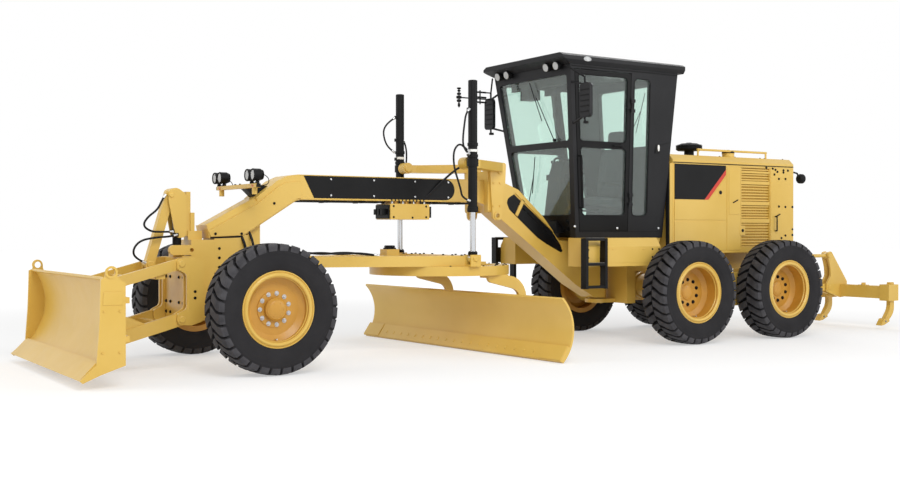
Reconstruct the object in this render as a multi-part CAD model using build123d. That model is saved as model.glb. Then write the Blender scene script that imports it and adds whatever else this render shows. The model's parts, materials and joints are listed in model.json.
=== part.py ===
from build123d import *
import math
import os

# Motor grader with a push blade in front and a ripper behind.
# Millimetres. x runs forward from the middle of the rear tandems, y to the machine's left, z up
# from the ground. The finished model is moved along x so that the origin is under its middle.

# Driving sizes of the chassis
wheelBase = 5950.0
tandemSpacing = 1510.0
wheelTrackHalf = 1050.0
tyreRadius = 595.0
tyreWidth = 360.0
seatRadius = 305.0
rimHalfWidth = 150.0
flangeRadius = 352.0
axleHeight = tyreRadius

# Running gaps
fitGap = 1.0
slipGap = 0.3

# Tyre and rim
beadHalfWidth = rimHalfWidth - 10.0
tyreFacets = 18
treadBase = 560.0
shoulderHalf = 164.0
bulgeInner = 440.0
bulgeOuter = 470.0
lugWidth = 85.0
lugSkew = 60.0
lugInner = 6.0
lugOuter = 174.0
lugFoot = 500.0
rearDiscOffset = -60.0
frontDiscOffset = 30.0
discThickness = 16.0
hubRadius = 165.0
capRadius = 104.0
dishRadius = 235.0
dishRise = 34.0
spindleRadius = 74.0

# Tandem cases and rear axle
caseInner = 640.0
caseOuter = 820.0
caseHeight = 400.0
spindleReach = 972.0
tandemBossRadius = 170.0
tandemBossInner = 560.0
trunnionRadius = 120.0
axleTubeRadius = 150.0

# Rear frame
railInner = 280.0
railOuter = 360.0
railBottom = 820.0
railTop = 1030.0
frameRear = -1750.0
frameFront = 1100.0
hitchX = 1250.0
hitchBossRadius = 105.0
hitchPinRadius = 50.0
hitchLow = 500.0
hitchHigh = 1150.0
hitchPlate = 50.0

# Hood and engine
hoodRear = -1495.0
hoodFront = 612.0
hoodHalf = 620.0
hoodBottom = 1030.3
hoodEave = 2105.0
hoodTop = 2215.0
hoodWall = 25.0
grilleFront = -543.0
grilleRear = -1050.0
grilleBands = [(1110.0, 1400.0), (1450.0, 1620.0), (1665.0, 1880.0), (1920.0, 2020.0), (2045.0, 2085.0)]

# Cab
cabFloor = 1220.0
cabEave = 3150.0
cabRoofTop = 3262.0
cabHalfLow = 520.0
cabHalfHigh = 730.0
cabFrontLow = 2005.0
cabFrontHigh = 2250.0
cabRearLow = 690.0
cabRearHigh = 640.0
cabWall = 55.0
glassThickness = 6.0
roofHalf = 770.0
roofFront = 2385.0
roofRear = 556.0
doorGap = 8.0
sillHeight = cabFloor + 260.0
railHeight = cabFloor + 0.547 * (cabEave - cabFloor)
headHeight = cabEave - 110.0
doorLow = cabFloor + 80.0
doorHigh = cabEave - 55.0
doorFrame = 48.0
paneCorner = 38.0
hingeOut = 12.0
hingeBack = 8.0
hingeRadius = 11.0

# Front frame
beamHalf = 150.0
beamTop = 1866.0
beamBottom = 1615.0
noseFront = 6200.0
noseBottom = 1227.0
noseTop = 1354.0
noseBreakX = 5720.0
noseBreakHeight = 1626.0
bevel = 45.0
seam = 10.0
pocketDepth = 15.0

# Front axle
axlePinHeight = 640.0
kingpinY = 800.0
leanPinY = 690.0
leanPinHeight = 430.0

# Drawbar, circle and moldboard
ballX = 5660.0
ballHeight = 960.0
drawbarTop = 1040.0
drawbarBottom = 930.0
circleX = 3500.0
circleRadius = 765.0
circleTop = 929.5
circleBottom = 830.0
circleBore = 620.0
circleTeeth = 54
toothDepth = 28.0
bladeLength = 3658.0
bladeHeight = 610.0
bladeThickness = 22.0
bladeClearance = 20.0
bladeAngle = 3.1
bladeFace = 3196.0
bladeRadius = 413.0
tiltPinX = 2985.0
tiltPinHeight = 240.0
armInner = 650.0
armOuter = 690.0
railLowHeight = 150.0
railHighHeight = 455.0
liftX = 3560.0
liftY = 750.0
liftPinHeight = 1012.0
trunnionHeight = 2011.0
barrelTop = 2861.0
barrelFoot = 1496.0
liftBarrelRadius = 48.0
liftRodRadius = 30.0
linkFoot = 1416.0

# Push blade
dozerHalf = 1265.0
dozerPinX = 6560.0
dozerPinLow = 480.0
dozerPinHigh = 995.0
dozerReach = 660.0
dozerDrop = 180.0
dozerArmY = 340.0
dozerArmWidth = 50.0
dozerBack = 7350.0
dozerTip = 7725.0
dozerEyeX = 7468.0
dozerEyeHeight = 960.0
dozerEyeRadius = 32.0
endPlate = 25.0
strutFootX = 6745.0
strutFootHeight = 985.0
strutHeadX = 6545.0
strutHeadHeight = 1650.0
shroudHalf = 75.0
shroudWall = 15.0
shroudDrop = 415.0
mastX = 6375.0
mastTop = 1675.0
mastHalf = 45.0
liftBarrelX = 6470.0

# Ripper
ripperPinX = -1850.0
ripperPinLow = 530.0
ripperPinHigh = 960.0
ripperReach = 780.0
ripperHalf = 1073.0
ripperBeamX = -2920.0
ripperBeamLow = 400.0
ripperBeamHigh = 565.0
ripperLinkY = 215.0
ripperBarrelPinHeight = 900.0
ripperEyeX = -2440.0
ripperEyeHeight = 560.0


def slab(x0, x1, y0, y1, z0, z1):
    return Pos((x0 + x1) / 2, (y0 + y1) / 2, (z0 + z1) / 2) * Box(x1 - x0, y1 - y0, z1 - z0)


def outline(points, place):
    """Closed wire through corners. A third value is the radius that rounds the corner."""
    stations = []
    for k, corner in enumerate(points):
        here = Vector(*corner[:2])
        if len(corner) == 2:
            stations.append([here])
            continue
        radius = corner[2]
        toLast = (Vector(*points[k - 1][:2]) - here).normalized()
        toNext = (Vector(*points[(k + 1) % len(points)][:2]) - here).normalized()
        half = math.radians(toLast.get_angle(toNext) / 2)
        reach = radius / math.tan(half)
        crest = here + (toLast + toNext).normalized() * (radius / math.sin(half) - radius)
        stations.append([here + toLast * reach, crest, here + toNext * reach])
    edges = []
    for k, station in enumerate(stations):
        if len(station) == 3:
            edges.append(ThreePointArc(*[place(p.X, p.Y) for p in station]))
        start, end = station[-1], stations[(k + 1) % len(stations)][0]
        if (end - start).length > 0.01:
            edges.append(Line(place(start.X, start.Y), place(end.X, end.Y)))
    return Wire(edges)


def side(points, y0, y1):
    """Prism across y over a closed outline of (x, z) corners."""
    face = make_face(outline(points, lambda x, z: (x, y0, z)))
    return extrude(face, amount=y1 - y0, dir=(0, 1, 0))


def plan(points, z0, z1):
    """Prism up z over a closed outline of (x, y) corners."""
    face = make_face(outline(points, lambda x, y: (x, y, z0)))
    return extrude(face, amount=z1 - z0, dir=(0, 0, 1))


def front(points, x0, x1):
    """Prism along x over a closed outline of (y, z) corners."""
    face = make_face(outline(points, lambda y, z: (x0, y, z)))
    return extrude(face, amount=x1 - x0, dir=(1, 0, 0))


def bar(start, end, radius):
    """Round bar between two points."""
    start = Vector(*start)
    run = Vector(*end) - start
    place = Plane(origin=start, z_dir=run)
    return extrude(place * Circle(radius), amount=run.length)


def beam(start, end, width, height):
    """Square bar between two points, its height kept upright."""
    start = Vector(*start)
    run = Vector(*end) - start
    across = Vector(0, 0, 1).cross(run)
    place = Plane(origin=start, x_dir=across, z_dir=run)
    return extrude(place * Rectangle(width, height), amount=run.length)


def cylinderY(x, z, y0, y1, radius):
    return bar((x, y0, z), (x, y1, z), radius)


def cylinderZ(x, y, z0, z1, radius):
    return bar((x, y, z0), (x, y, z1), radius)


def mirrored(shape):
    return shape.mirror(Plane.XZ)


def ring(profile, x, y, z):
    """Turned piece about a line across the machine, from (radius, offset) points."""
    wire = Polyline(*[(0, offset, radius) for radius, offset in profile], close=True)
    turned = revolve(make_face(wire), axis=Axis((0, 0, 0), (0, 1, 0)), revolution_arc=360)
    return Pos(x, y, z) * turned


nodes = {}


def put(name, *shapes):
    solids = []
    for shape in shapes:
        solids.extend(shape.solids())
    nodes[name] = Compound(children=[s for s in solids]) if len(solids) > 1 else solids[0]


# Wheels
def manySided(rows):
    """Body with flat facets about the axle, through rows of offset and distance of the flats."""
    sections = []
    for offset, reach in rows:
        place = Plane(origin=(0, offset, 0), x_dir=(1, 0, 0), z_dir=(0, 1, 0))
        sections.append(place * RegularPolygon(reach, tyreFacets, major_radius=False))
    return loft(sections, ruled=True)


def tyre():
    """Tyre with two staggered rows of skewed lugs, its bead facets clear of the rim's seat."""
    halfWidth = tyreWidth / 2
    body = manySided([(-halfWidth, bulgeOuter), (-shoulderHalf, treadBase),
                      (shoulderHalf, treadBase), (halfWidth, bulgeOuter)])
    body = body - manySided([(-halfWidth - 1, seatRadius + slipGap), (halfWidth + 1, seatRadius + slipGap)])
    recess = manySided([(beadHalfWidth, flangeRadius + 4), (halfWidth, bulgeInner),
                        (halfWidth + 1, bulgeInner)])
    body = body - recess - mirrored(recess)
    half = (lugWidth + lugSkew) / 2
    lugTop = math.sqrt(tyreRadius ** 2 - half ** 2)
    lug = plan([(-half, lugInner), (-half + lugWidth, lugInner), (half, lugOuter), (half - lugWidth, lugOuter)],
               lugFoot, lugTop)
    pitch = 360 / tyreFacets
    lugs = []
    for k in range(tyreFacets):
        lugs.append(Rot(0, (k + 0.25) * pitch, 0) * lug)
        lugs.append(Rot(0, (k - 0.25) * pitch, 0) * mirrored(lug))
    return body.fuse(*lugs)


def rim(discOffset, hubInner, capOuter, bore):
    wall = 12.0
    face = discOffset + discThickness
    wheel = ring([
        (seatRadius, -beadHalfWidth - slipGap), (flangeRadius, -beadHalfWidth - slipGap),
        (flangeRadius, -rimHalfWidth), (seatRadius - wall, -rimHalfWidth),
        (seatRadius - wall, rimHalfWidth), (flangeRadius, rimHalfWidth),
        (flangeRadius, beadHalfWidth + slipGap), (seatRadius, beadHalfWidth + slipGap),
    ], 0, 0, 0)
    # The disc meets the barrel in a cone
    edge = seatRadius - wall / 2
    wheel = wheel + ring([(dishRadius - 1, discOffset), (dishRadius - 1, face), (dishRadius, face),
                          (edge, face + dishRise), (edge, discOffset + dishRise),
                          (dishRadius, discOffset)], 0, 0, 0)
    wheel = wheel + cylinderY(0, 0, discOffset, face, dishRadius)
    wheel = wheel + cylinderY(0, 0, hubInner, face + 8, hubRadius)
    cap = cylinderY(0, 0, face, capOuter, capRadius)
    wheel = wheel + chamfer(cap.edges().sort_by(Axis.Y)[-1], 16)
    if bore:
        wheel = wheel - cylinderY(0, 0, hubInner - 1, bore, spindleRadius + fitGap)
    return wheel


rearHub = caseOuter + 20 - wheelTrackHalf
# name, x, side, kind of rim
wheelTable = [
    ("rear_left_leading", tandemSpacing / 2, 1, "rear"),
    ("rear_left_trailing", -tandemSpacing / 2, 1, "rear"),
    ("rear_right_leading", tandemSpacing / 2, -1, "rear"),
    ("rear_right_trailing", -tandemSpacing / 2, -1, "rear"),
    ("front_left", wheelBase, 1, "front"),
    ("front_right", wheelBase, -1, "front"),
]


def makeWheels():
    rubber = tyre()
    rearRim = rim(rearDiscOffset, rearHub, rearDiscOffset + 34, spindleReach + 3 - wheelTrackHalf)
    frontRim = rim(frontDiscOffset, -180, frontDiscOffset + 80, 5)
    for name, x, hand, kind in wheelTable:
        wheel = rearRim if kind == "rear" else frontRim
        place = Pos(x, wheelTrackHalf, axleHeight)
        tyreHere = place * rubber
        wheelHere = place * wheel
        if hand < 0:
            tyreHere = mirrored(tyreHere)
            wheelHere = mirrored(wheelHere)
        put("tyre_" + name, tyreHere)
        put("rim_" + name, wheelHere)


# Tandem cases
def makeTandems():
    span = tandemSpacing + caseHeight
    inside = Plane(origin=(0, caseInner, axleHeight), x_dir=(1, 0, 0), z_dir=(0, 1, 0))
    case = extrude(inside * SlotOverall(span, caseHeight), amount=caseOuter - caseInner)
    case = case + cylinderY(0, axleHeight, tandemBossInner, caseInner, tandemBossRadius)
    case = case - cylinderY(0, axleHeight, tandemBossInner, 721, trunnionRadius + fitGap)
    for x in (-tandemSpacing / 2, tandemSpacing / 2):
        case = case + cylinderY(x, axleHeight, caseOuter, spindleReach, spindleRadius)
    put("tandem_left", case)
    put("tandem_right", mirrored(case))


def makeRearAxle():
    tubeEnd = tandemBossInner - 10
    axle = cylinderY(0, axleHeight, -tubeEnd, tubeEnd, axleTubeRadius)
    axle = axle + cylinderY(0, axleHeight, -720, 720, trunnionRadius)
    axle = axle + slab(-190, 190, -190, 190, axleHeight - 190, axleHeight + 190)
    for hand in (1, -1):
        axle = axle + slab(-150, 150, hand * 320 - 60, hand * 320 + 60, axleHeight, railBottom)
    put("rear_axle", axle)


# Rear frame
def makeRearFrame():
    frame = slab(frameRear, frameFront, railInner, railOuter, railBottom, railTop)
    frame = frame + mirrored(frame)
    frame = frame + slab(frameRear, frameRear + 60, -600, 600, 700, railTop)
    frame = frame + slab(frameRear + 60, -1495, -500, 500, railTop - 40, railTop)
    frame = frame + slab(-900, -820, -railInner, railInner, railBottom + 20, railTop - 20)
    frame = frame + slab(480, 560, -railInner, railInner, railBottom + 20, railTop - 20)
    bulkhead = slab(frameFront - 130, frameFront, -railOuter, railOuter, 440, hitchHigh + hitchPlate)
    frame = frame + bulkhead
    for z in (hitchLow - hitchPlate - 5, hitchHigh + 5):
        ear = slab(frameFront, hitchX, -150, 150, z, z + hitchPlate - 5)
        ear = ear + bar((hitchX, 0, z), (hitchX, 0, z + hitchPlate - 5), 150)
        frame = frame + ear
    frame = frame + bar((hitchX, 0, hitchLow - hitchPlate), (hitchX, 0, hitchHigh + hitchPlate), hitchPinRadius)
    bearer = slab(cabRearLow + 20, 1760, 445, 505, cabFloor - 45, cabFloor)
    post = slab(970, 1100, 300, 505, railTop, cabFloor - 45)
    rearPost = slab(720, 800, 300, 505, railTop, cabFloor - 45)
    frame = frame + bearer + post + rearPost
    frame = frame + mirrored(bearer + post + rearPost)
    # Ripper lugs on the rear plate
    frame = frame + slab(frameRear, frameRear + 60, -300, 300, ripperPinLow - 70, 700)
    for z in (ripperPinLow, ripperPinHigh):
        for y in (-ripperLinkY, ripperLinkY):
            for y0 in (y - 55, y + 30):
                lug = slab(ripperPinX, frameRear, y0, y0 + 25, z - 55, z + 55)
                frame = frame + lug + cylinderY(ripperPinX, z, y0, y0 + 25, 55)
            frame = frame + cylinderY(ripperPinX, z, y - 55, y + 55, 22)
    for y0 in (-65, 40):
        lug = slab(ripperPinX, frameRear, y0, y0 + 25, ripperBarrelPinHeight - 50, ripperBarrelPinHeight + 50)
        frame = frame + lug + cylinderY(ripperPinX, ripperBarrelPinHeight, y0, y0 + 25, 50)
    frame = frame + cylinderY(ripperPinX, ripperBarrelPinHeight, -65, 65, 20)
    put("rear_frame", frame)
    box = side([(983, 990), (1080, 900), (2100, 900), (2100, cabFloor), (983, cabFloor)], 508, 810)
    box = box - front([(740, cabFloor), (811, cabFloor), (811, 1120)], 900, 2200)
    put("side_boxes", box, mirrored(box))


def makeLadders():
    foot = bladeClearance + bladeHeight + 30
    ladder = slab(1860, 1895, 815, 905, foot, cabFloor) + slab(2135, 2170, 815, 905, foot, cabFloor)
    for z in (foot + 5, 915, 1190):
        ladder = ladder + slab(1890, 2140, 830, 900, z, z + 30)
    # The hangers stand 0.3 mm off the side box
    ladder = ladder + slab(1860, 1895, 810 + slipGap, 820, 900, 1110)
    ladder = ladder + slab(2080, 2140, 810 + slipGap, 840, 930, 1100)
    put("ladders", ladder, mirrored(ladder))


# Hood
def makeHood():
    cover = front([
        (-hoodHalf, hoodEave), (-hoodHalf, hoodEave + 45), (-hoodHalf + 70, hoodTop),
        (hoodHalf - 70, hoodTop), (hoodHalf, hoodEave + 45), (hoodHalf, hoodEave),
    ], hoodRear, hoodFront)
    inner = front([
        (-hoodHalf + 25, hoodEave), (-hoodHalf + 80, hoodTop - 25),
        (hoodHalf - 80, hoodTop - 25), (hoodHalf - 25, hoodEave),
    ], hoodRear + hoodWall, hoodFront - hoodWall)
    cover = cover - inner
    wallFront = slab(hoodFront - hoodWall, hoodFront, -hoodHalf + 5, hoodHalf - 5, hoodBottom, hoodEave)
    rearWall = slab(hoodRear, hoodRear + hoodWall, -hoodHalf, hoodHalf, hoodBottom, hoodEave)
    for k in range(7):
        z = hoodBottom + 130 + k * 130
        rearWall = rearWall - slab(hoodRear - 1, hoodRear + hoodWall + 1, -480, 480, z, z + 90)
    shell = cover + wallFront + rearWall
    rail = railPath()
    # Upright flange between the hood and the cab
    flange = slab(hoodFront, hoodFront + 36, hoodHalf - 62, hoodHalf - 8, hoodBottom, hoodEave)
    put("hood_top", shell + rail + mirrored(rail) + flange + mirrored(flange))
    panel = slab(hoodRear + hoodWall, hoodFront - hoodWall, hoodHalf - 30, hoodHalf, hoodBottom, hoodEave)
    for z0, z1 in grilleBands:
        panel = panel - slab(grilleRear, grilleFront, hoodHalf - 31, hoodHalf + 1, z0, z1)
        slats = round((z1 - z0) / 36)
        pitch = (z1 - z0) / slats
        for k in range(slats):
            z = z0 + (k + 0.5) * pitch
            panel = panel + slab(grilleRear, grilleFront, hoodHalf - 22, hoodHalf - 12, z - 8, z + 8)
    put("hood_sides", panel, mirrored(panel))
    block = slab(-900, 350, -railOuter + 20, railOuter - 20, railTop, 1800)
    put("engine_block", block)
    cleaner = bar((-65, 200, hoodTop), (-65, 200, hoodTop + 90), 60)
    cap = bar((-65, 200, hoodTop + 85), (-65, 200, hoodTop + 175), 160)
    cap = chamfer(cap.edges().sort_by(Axis.Z)[-1], 26, 60)
    cleaner = cleaner + chamfer(cap.edges().sort_by(Axis.Z)[0], 18)
    put("air_precleaner", cleaner)


def railPath():
    z = hoodTop + 75
    y = hoodHalf - 90
    rail = bar((-1090, y, z), (120, y, z), 14)
    for x in (-1080, -480, 110):
        rail = rail + bar((x, y, hoodTop - 5), (x, y, z), 12)
    return rail


# Cab
def cabHalf(z):
    return cabHalfLow + (cabHalfHigh - cabHalfLow) * (z - cabFloor) / (cabEave - cabFloor)


def cabFrontAt(z):
    return cabFrontLow + (cabFrontHigh - cabFrontLow) * (z - cabFloor) / (cabEave - cabFloor)


def cabRearAt(z):
    return cabRearLow + (cabRearHigh - cabRearLow) * (z - cabFloor) / (cabEave - cabFloor)


def cabBody(inset, low, high):
    """Leaning four-sided body of the cab, drawn in by the inset."""
    sections = []
    for z in (low, high):
        x0 = cabRearAt(z) + inset
        x1 = cabFrontAt(z) - inset
        y = cabHalf(z) - inset
        sections.append(Plane.XY.offset(z) * Pos((x0 + x1) / 2, 0) * Rectangle(x1 - x0, 2 * y))
    return loft(sections, ruled=True)


doorLean = 0.0645


def doorRearAt(z):
    return 1254 + doorLean * (z - sillHeight)


def doorFrontAt(z):
    return cabFrontAt(z) - cabWall - 7


def doorOutline(grow):
    # The hinge line leans, so the door drops as it opens and needs more room below
    low, high = doorLow - 1.7 * grow, doorHigh + grow
    return [(doorRearAt(low) - grow, low), (doorFrontAt(low) + grow, low),
            (doorFrontAt(high) + grow, high), (doorRearAt(high) - grow, high)]


def doorPane(low, high, grow):
    low, high = low - grow, high + grow
    radius = paneCorner + grow
    inset = doorFrame - grow
    return [(doorRearAt(low) + inset, low, radius), (doorFrontAt(low) - inset, low, radius),
            (doorFrontAt(high) - inset, high, radius), (doorRearAt(high) + inset, high, radius)]


def hingePoint(z):
    """Point of the left door's hinge line at a height."""
    return Vector(doorRearAt(z) - hingeBack, cabHalf(z) + hingeOut, z)


def hingeBarrel(z, length, reach):
    """Round knuckle of the left door's hinge with a leaf that reaches forward or back."""
    along = (hingePoint(cabEave) - hingePoint(cabFloor)).normalized()
    middle = hingePoint(z)
    knuckle = bar(middle - along * (length / 2), middle + along * (length / 2), hingeRadius)
    start = Vector(math.copysign(4, reach), -7, 0)
    leaf = beam(middle + start, middle + Vector(reach, -7, 0), 12, length)
    return knuckle + leaf


def rearPane(low, high, grow):
    low, high = low - grow, high + grow
    radius = paneCorner + grow
    return [(doorRearAt(low) - 295 - grow, low, radius), (doorRearAt(low) - 58 + grow, low, radius),
            (doorRearAt(high) - 58 + grow, high, radius), (doorRearAt(high) - 300 - grow, high, radius)]


def facePane(low, high, grow):
    low, high = low - grow, high + grow
    radius = paneCorner + grow
    return [(-cabHalf(low) + 75 - grow, low, radius), (cabHalf(low) - 75 + grow, low, radius),
            (cabHalf(high) - 75 + grow, high, radius), (-cabHalf(high) + 75 - grow, high, radius)]


paneRows = [(sillHeight, railHeight - 38), (railHeight + 38, headHeight)]


def makeCab():
    outer = cabBody(0, cabFloor, cabEave)
    shell = outer - cabBody(cabWall, cabFloor + 50, cabEave + 1)
    glassSkin = cabBody(20, cabFloor, cabEave) - cabBody(20 + glassThickness, cabFloor, cabEave + 1)
    # Toe space over the neck of the front frame
    toe = side([(2200, 1490), (2040, 1490), (1775, cabFloor - 1), (2200, cabFloor - 1)], -430, 430)
    toeSkin = side([(2200, 1530), (2027, 1530), (1735, cabFloor), (2200, cabFloor)], -455, 455)
    shell = shell + (toeSkin & cabBody(1, cabFloor, cabEave)) - toe
    reach = 900
    for low, high in paneRows:
        shell = shell - front(facePane(low, high, 0), 1500, 2400)
    shell = shell - front(facePane(railHeight + 45, headHeight, 0), 500, 900)
    for hand in (1, -1):
        y0, y1 = (300, reach) if hand > 0 else (-reach, -300)
        shell = shell - side(doorOutline(doorGap), y0, y1)
        shell = shell - side(rearPane(sillHeight, headHeight, 0), y0, y1)
    hinges = []
    doorHinges = []
    for share in (0.2, 0.8):
        z = doorLow + share * (doorHigh - doorLow)
        doorHinges.append(hingeBarrel(z, 64, 60))
        for step in (-56, 56):
            hinges.append(hingeBarrel(z + step, 38, -60))
    for leaf in hinges:
        shell = shell + leaf + mirrored(leaf)
    put("cab_frame", shell)
    panes = []
    for low, high in paneRows:
        panes.append(glassSkin & front(facePane(low, high, -1), 1900, 2400))
    panes.append(glassSkin & front(facePane(railHeight + 45, headHeight, -1), 500, 720))
    for y0, y1 in ((300, reach), (-reach, -300)):
        panes.append(glassSkin & side(rearPane(sillHeight, headHeight, -1), y0, y1))
    put("cab_glass", *panes)
    skin = outer - cabBody(cabWall, cabFloor + 50, cabEave + 1)
    door = skin & side(doorOutline(0), 300, reach)
    for low, high in paneRows:
        door = door - side(doorPane(low, high, 0), 300, reach)
    for leaf in doorHinges:
        door = door + leaf
    doorGlass = [glassSkin & side(doorPane(low, high, -1), 300, reach) for low, high in paneRows]
    put("door_left", door)
    put("door_right", mirrored(door))
    put("door_glass_left", *doorGlass)
    put("door_glass_right", *[mirrored(g) for g in doorGlass])
    makeRoof()


def makeRoof():
    roof = side([
        (roofRear, cabEave), (cabFrontHigh + 10, cabEave), (roofFront, cabRoofTop - 55),
        (roofFront, cabRoofTop), (roofRear, cabRoofTop - 6),
    ], -roofHalf, roofHalf)
    crown = front([
        (-roofHalf + 30, cabEave - 1), (roofHalf - 30, cabEave - 1), (roofHalf, cabEave + 40),
        (roofHalf, cabRoofTop - 30), (roofHalf - 60, cabRoofTop + 1), (-roofHalf + 60, cabRoofTop + 1),
        (-roofHalf, cabRoofTop - 30), (-roofHalf, cabEave + 40),
    ], roofRear - 1, roofFront + 1)
    put("cab_roof", roof & crown)


def makeInterior():
    floor = cabFloor + 50
    seat = slab(1020, 1290, -160, 160, floor, floor + 280)
    seat = seat + slab(960, 1440, -250, 250, floor + 280, floor + 420)
    seat = seat + side([(960, floor + 420), (1090, floor + 420),
                        (1010, floor + 1020), (900, floor + 1020)], -240, 240)
    seat = seat + side([(905, floor + 1060), (1000, floor + 1060),
                        (985, floor + 1240), (890, floor + 1240)], -140, 140)
    seat = seat + slab(930, 965, -60, 60, floor + 1000, floor + 1080)
    put("seat", seat)
    column = side([(1680, floor), (1780, floor + 120), (1850, floor + 640),
                   (1760, floor + 700), (1560, floor)], -130, 130)
    wheelPlane = Plane(origin=(1690, 0, floor + 790), x_dir=(0, 1, 0), z_dir=(-0.5, 0, 0.86))
    grip = Plane.XZ * (Pos(185, 0) * RegularPolygon(14, 6))
    hand = wheelPlane.location * revolve(grip, axis=Axis.Z, revolution_arc=360)
    spoke = extrude(wheelPlane * Rectangle(350, 36), amount=14)
    stem = bar((1760, 0, floor + 660), (1690, 0, floor + 796), 30)
    put("console", column + stem + spoke + hand)


def makeMirrors():
    arm = bar((cabFrontAt(2950) - 20, cabHalf(2950), 2950), (2190, 905, 2900), 12)
    arm = arm + bar((cabFrontAt(2500) - 20, cabHalf(2500), 2500), (2190, 905, 2560), 12)
    housing = front([(830, 2540, 45), (1010, 2540, 45), (1010, 2920, 60), (830, 2920, 60)], 2165, 2205)
    piece = arm + housing
    piece = piece - cabBody(-0.3, cabFloor, cabEave)
    put("mirrors", piece, mirrored(piece))


# Front frame
def makeFrontFrame():
    noseSlope = (noseFront + 26, noseTop)
    nose = [
        (noseFront, noseBottom), noseSlope, (noseBreakX, noseBreakHeight), (5490, 1800), (5380, 1850, 60),
        (5267, beamTop), (2788, beamTop, 60),
    ]
    neck = [
        (2520, 1765), (2160, 1455, 300), (1925, 1185, 60), (1420, 1185), (1420, hitchHigh - 20),
        (hitchX, hitchHigh - 20), (hitchX, hitchLow + 10), (1400, hitchLow + 10),
        (1694, 671, 200), (2298, 1105),
    ]
    under = [(2793, 1453, 120), (2960, 1580, 60), (3080, beamBottom), (5267, beamBottom, 150), (5857, 1245)]
    frame = side(nose + neck + under, -beamHalf + 20, beamHalf - 20)
    frame = frame + side(nose + under, -beamHalf, beamHalf)
    frame = frame + bar((hitchX, 0, hitchLow), (hitchX, 0, hitchHigh), hitchBossRadius)
    frame = frame - bar((hitchX, 0, hitchLow - 1), (hitchX, 0, hitchHigh + 1), hitchPinRadius + fitGap)
    # Bevelled edges and open seams along the top of the nose
    rise = Vector(noseBreakX, 0, noseBreakHeight) - Vector(noseSlope[0], 0, noseSlope[1])
    start = Plane(origin=(noseSlope[0], 0, noseSlope[1]), x_dir=(0, 1, 0), z_dir=rise)
    edgeCut = Polyline((beamHalf - bevel, -1), (beamHalf + 1, -1), (beamHalf + 1, bevel), close=True)
    seamCut = Pos(85 + seam / 2, seam / 2) * Rectangle(seam, seam + 2)
    for cut in (make_face(edgeCut), seamCut):
        groove = extrude(start * cut, amount=rise.length)
        frame = frame - groove - mirrored(groove)
    # Side pockets of the neck
    pocket = side([
        (2700, 1650, 70), (2560, 1725), (1990, 1270, 40), (1880, 1130, 40), (1830, 1010, 40), (2250, 1210, 60),
        (2640, 1525, 60),
    ], beamHalf - 20 - pocketDepth, beamHalf)
    pocket = pocket & side([(2780, 1800), (1500, 1800), (1500, 800), (2780, 800)], 0, beamHalf - 19)
    frame = frame - pocket - mirrored(pocket)
    # Bolster that carries the axle pin
    frame = frame + slab(5780, 6150, -beamHalf, beamHalf, 900, 1260)
    for x0 in (5780, 6070):
        frame = frame + slab(x0, x0 + 60, -130, 130, axlePinHeight, 900)
        frame = frame + bar((x0, 0, axlePinHeight), (x0 + 60, 0, axlePinHeight), 130)
    frame = frame + bar((5780, 0, axlePinHeight), (6130, 0, axlePinHeight), 45)
    # Socket for the drawbar ball
    frame = frame + slab(5650, 5780, -85, 85, ballHeight - 80, 1380)
    frame = frame - Pos(ballX, 0, ballHeight) * Sphere(58 + fitGap)
    # Valve box under the beam
    frame = frame + slab(3750, 4230, -100, 200, 1420, 1585) + slab(3800, 4180, -90, 120, 1585, beamBottom)
    put("front_frame", frame)


def makeLamps():
    x = 5850
    bank = slab(x - 20, x + 20, -520, 520, 1715, 1750)
    bracket = side([(x + 20, 1750, 8), (x - 290, 1750, 8), (x - 290, 1700), (x - 150, 1630),
                    (x - 60, 1715, 30), (x + 20, 1715)], -60, 60)
    bank = bank + bracket
    bank = bank - side([(noseFront + 26, noseTop), (noseBreakX, noseBreakHeight + slipGap),
                        (5490, 1800 + slipGap), (5490, 1300), (noseFront + 26, 1300)], -200, 200)
    for y in (-488, -352, 352, 488):
        bank = bank + bar((x, y, 1740), (x, y, 1800), 14)
        lamp = bar((x - 45, y, 1835), (x + 45, y, 1835), 58)
        bank = bank + chamfer(lamp.edges().sort_by(Axis.X)[0], 22)
    put("work_lamps", bank)


def makeSaddle():
    collarX0, collarX1 = 2820, 3010
    collar = front([(-230, 1500, 30), (230, 1500, 30), (230, 1960, 70), (-230, 1960, 70)], collarX0, collarX1)
    collar = collar - slab(collarX0 - 1, collarX1 + 1, -beamHalf - slipGap, beamHalf + slipGap,
                           1400, beamTop + slipGap)
    arm = plan([(2850, 190), (3010, 190, 60), (liftX - 120, 560, 60), (liftX + 62, 560),
                (liftX + 62, 684), (liftX - 140, 684, 60), (2850, 300, 60)],
               trunnionHeight - 55, trunnionHeight + 40)
    arm = arm & side([(2840, 1950), (liftX, trunnionHeight - 48, 40), (liftX + 62, trunnionHeight - 10),
                      (liftX + 62, trunnionHeight + 36, 30), (2840, 2052)], 0, 800)
    arm = arm + slab(2850, 3010, beamHalf + slipGap, 231, 1860, 2030)
    arm = arm + cylinderY(liftX, trunnionHeight, 560, 684, 62)
    arm = arm - cylinderY(liftX, trunnionHeight, 580, 700, 28 + fitGap)
    # Side link with the lower eye, over the circle at its highest
    link = side([(2785, 2056, 30), (2800, 1760, 300), (2850, linkFoot, 46),
                 (2960, linkFoot, 46), (2985, 1700, 300), (3000, 2050, 30)], 229, 262)
    link = link - cylinderY(2904, linkFoot + 52, 228, 263, 24)
    saddle = collar + arm + link
    put("saddle", saddle + mirrored(saddle))


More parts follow.
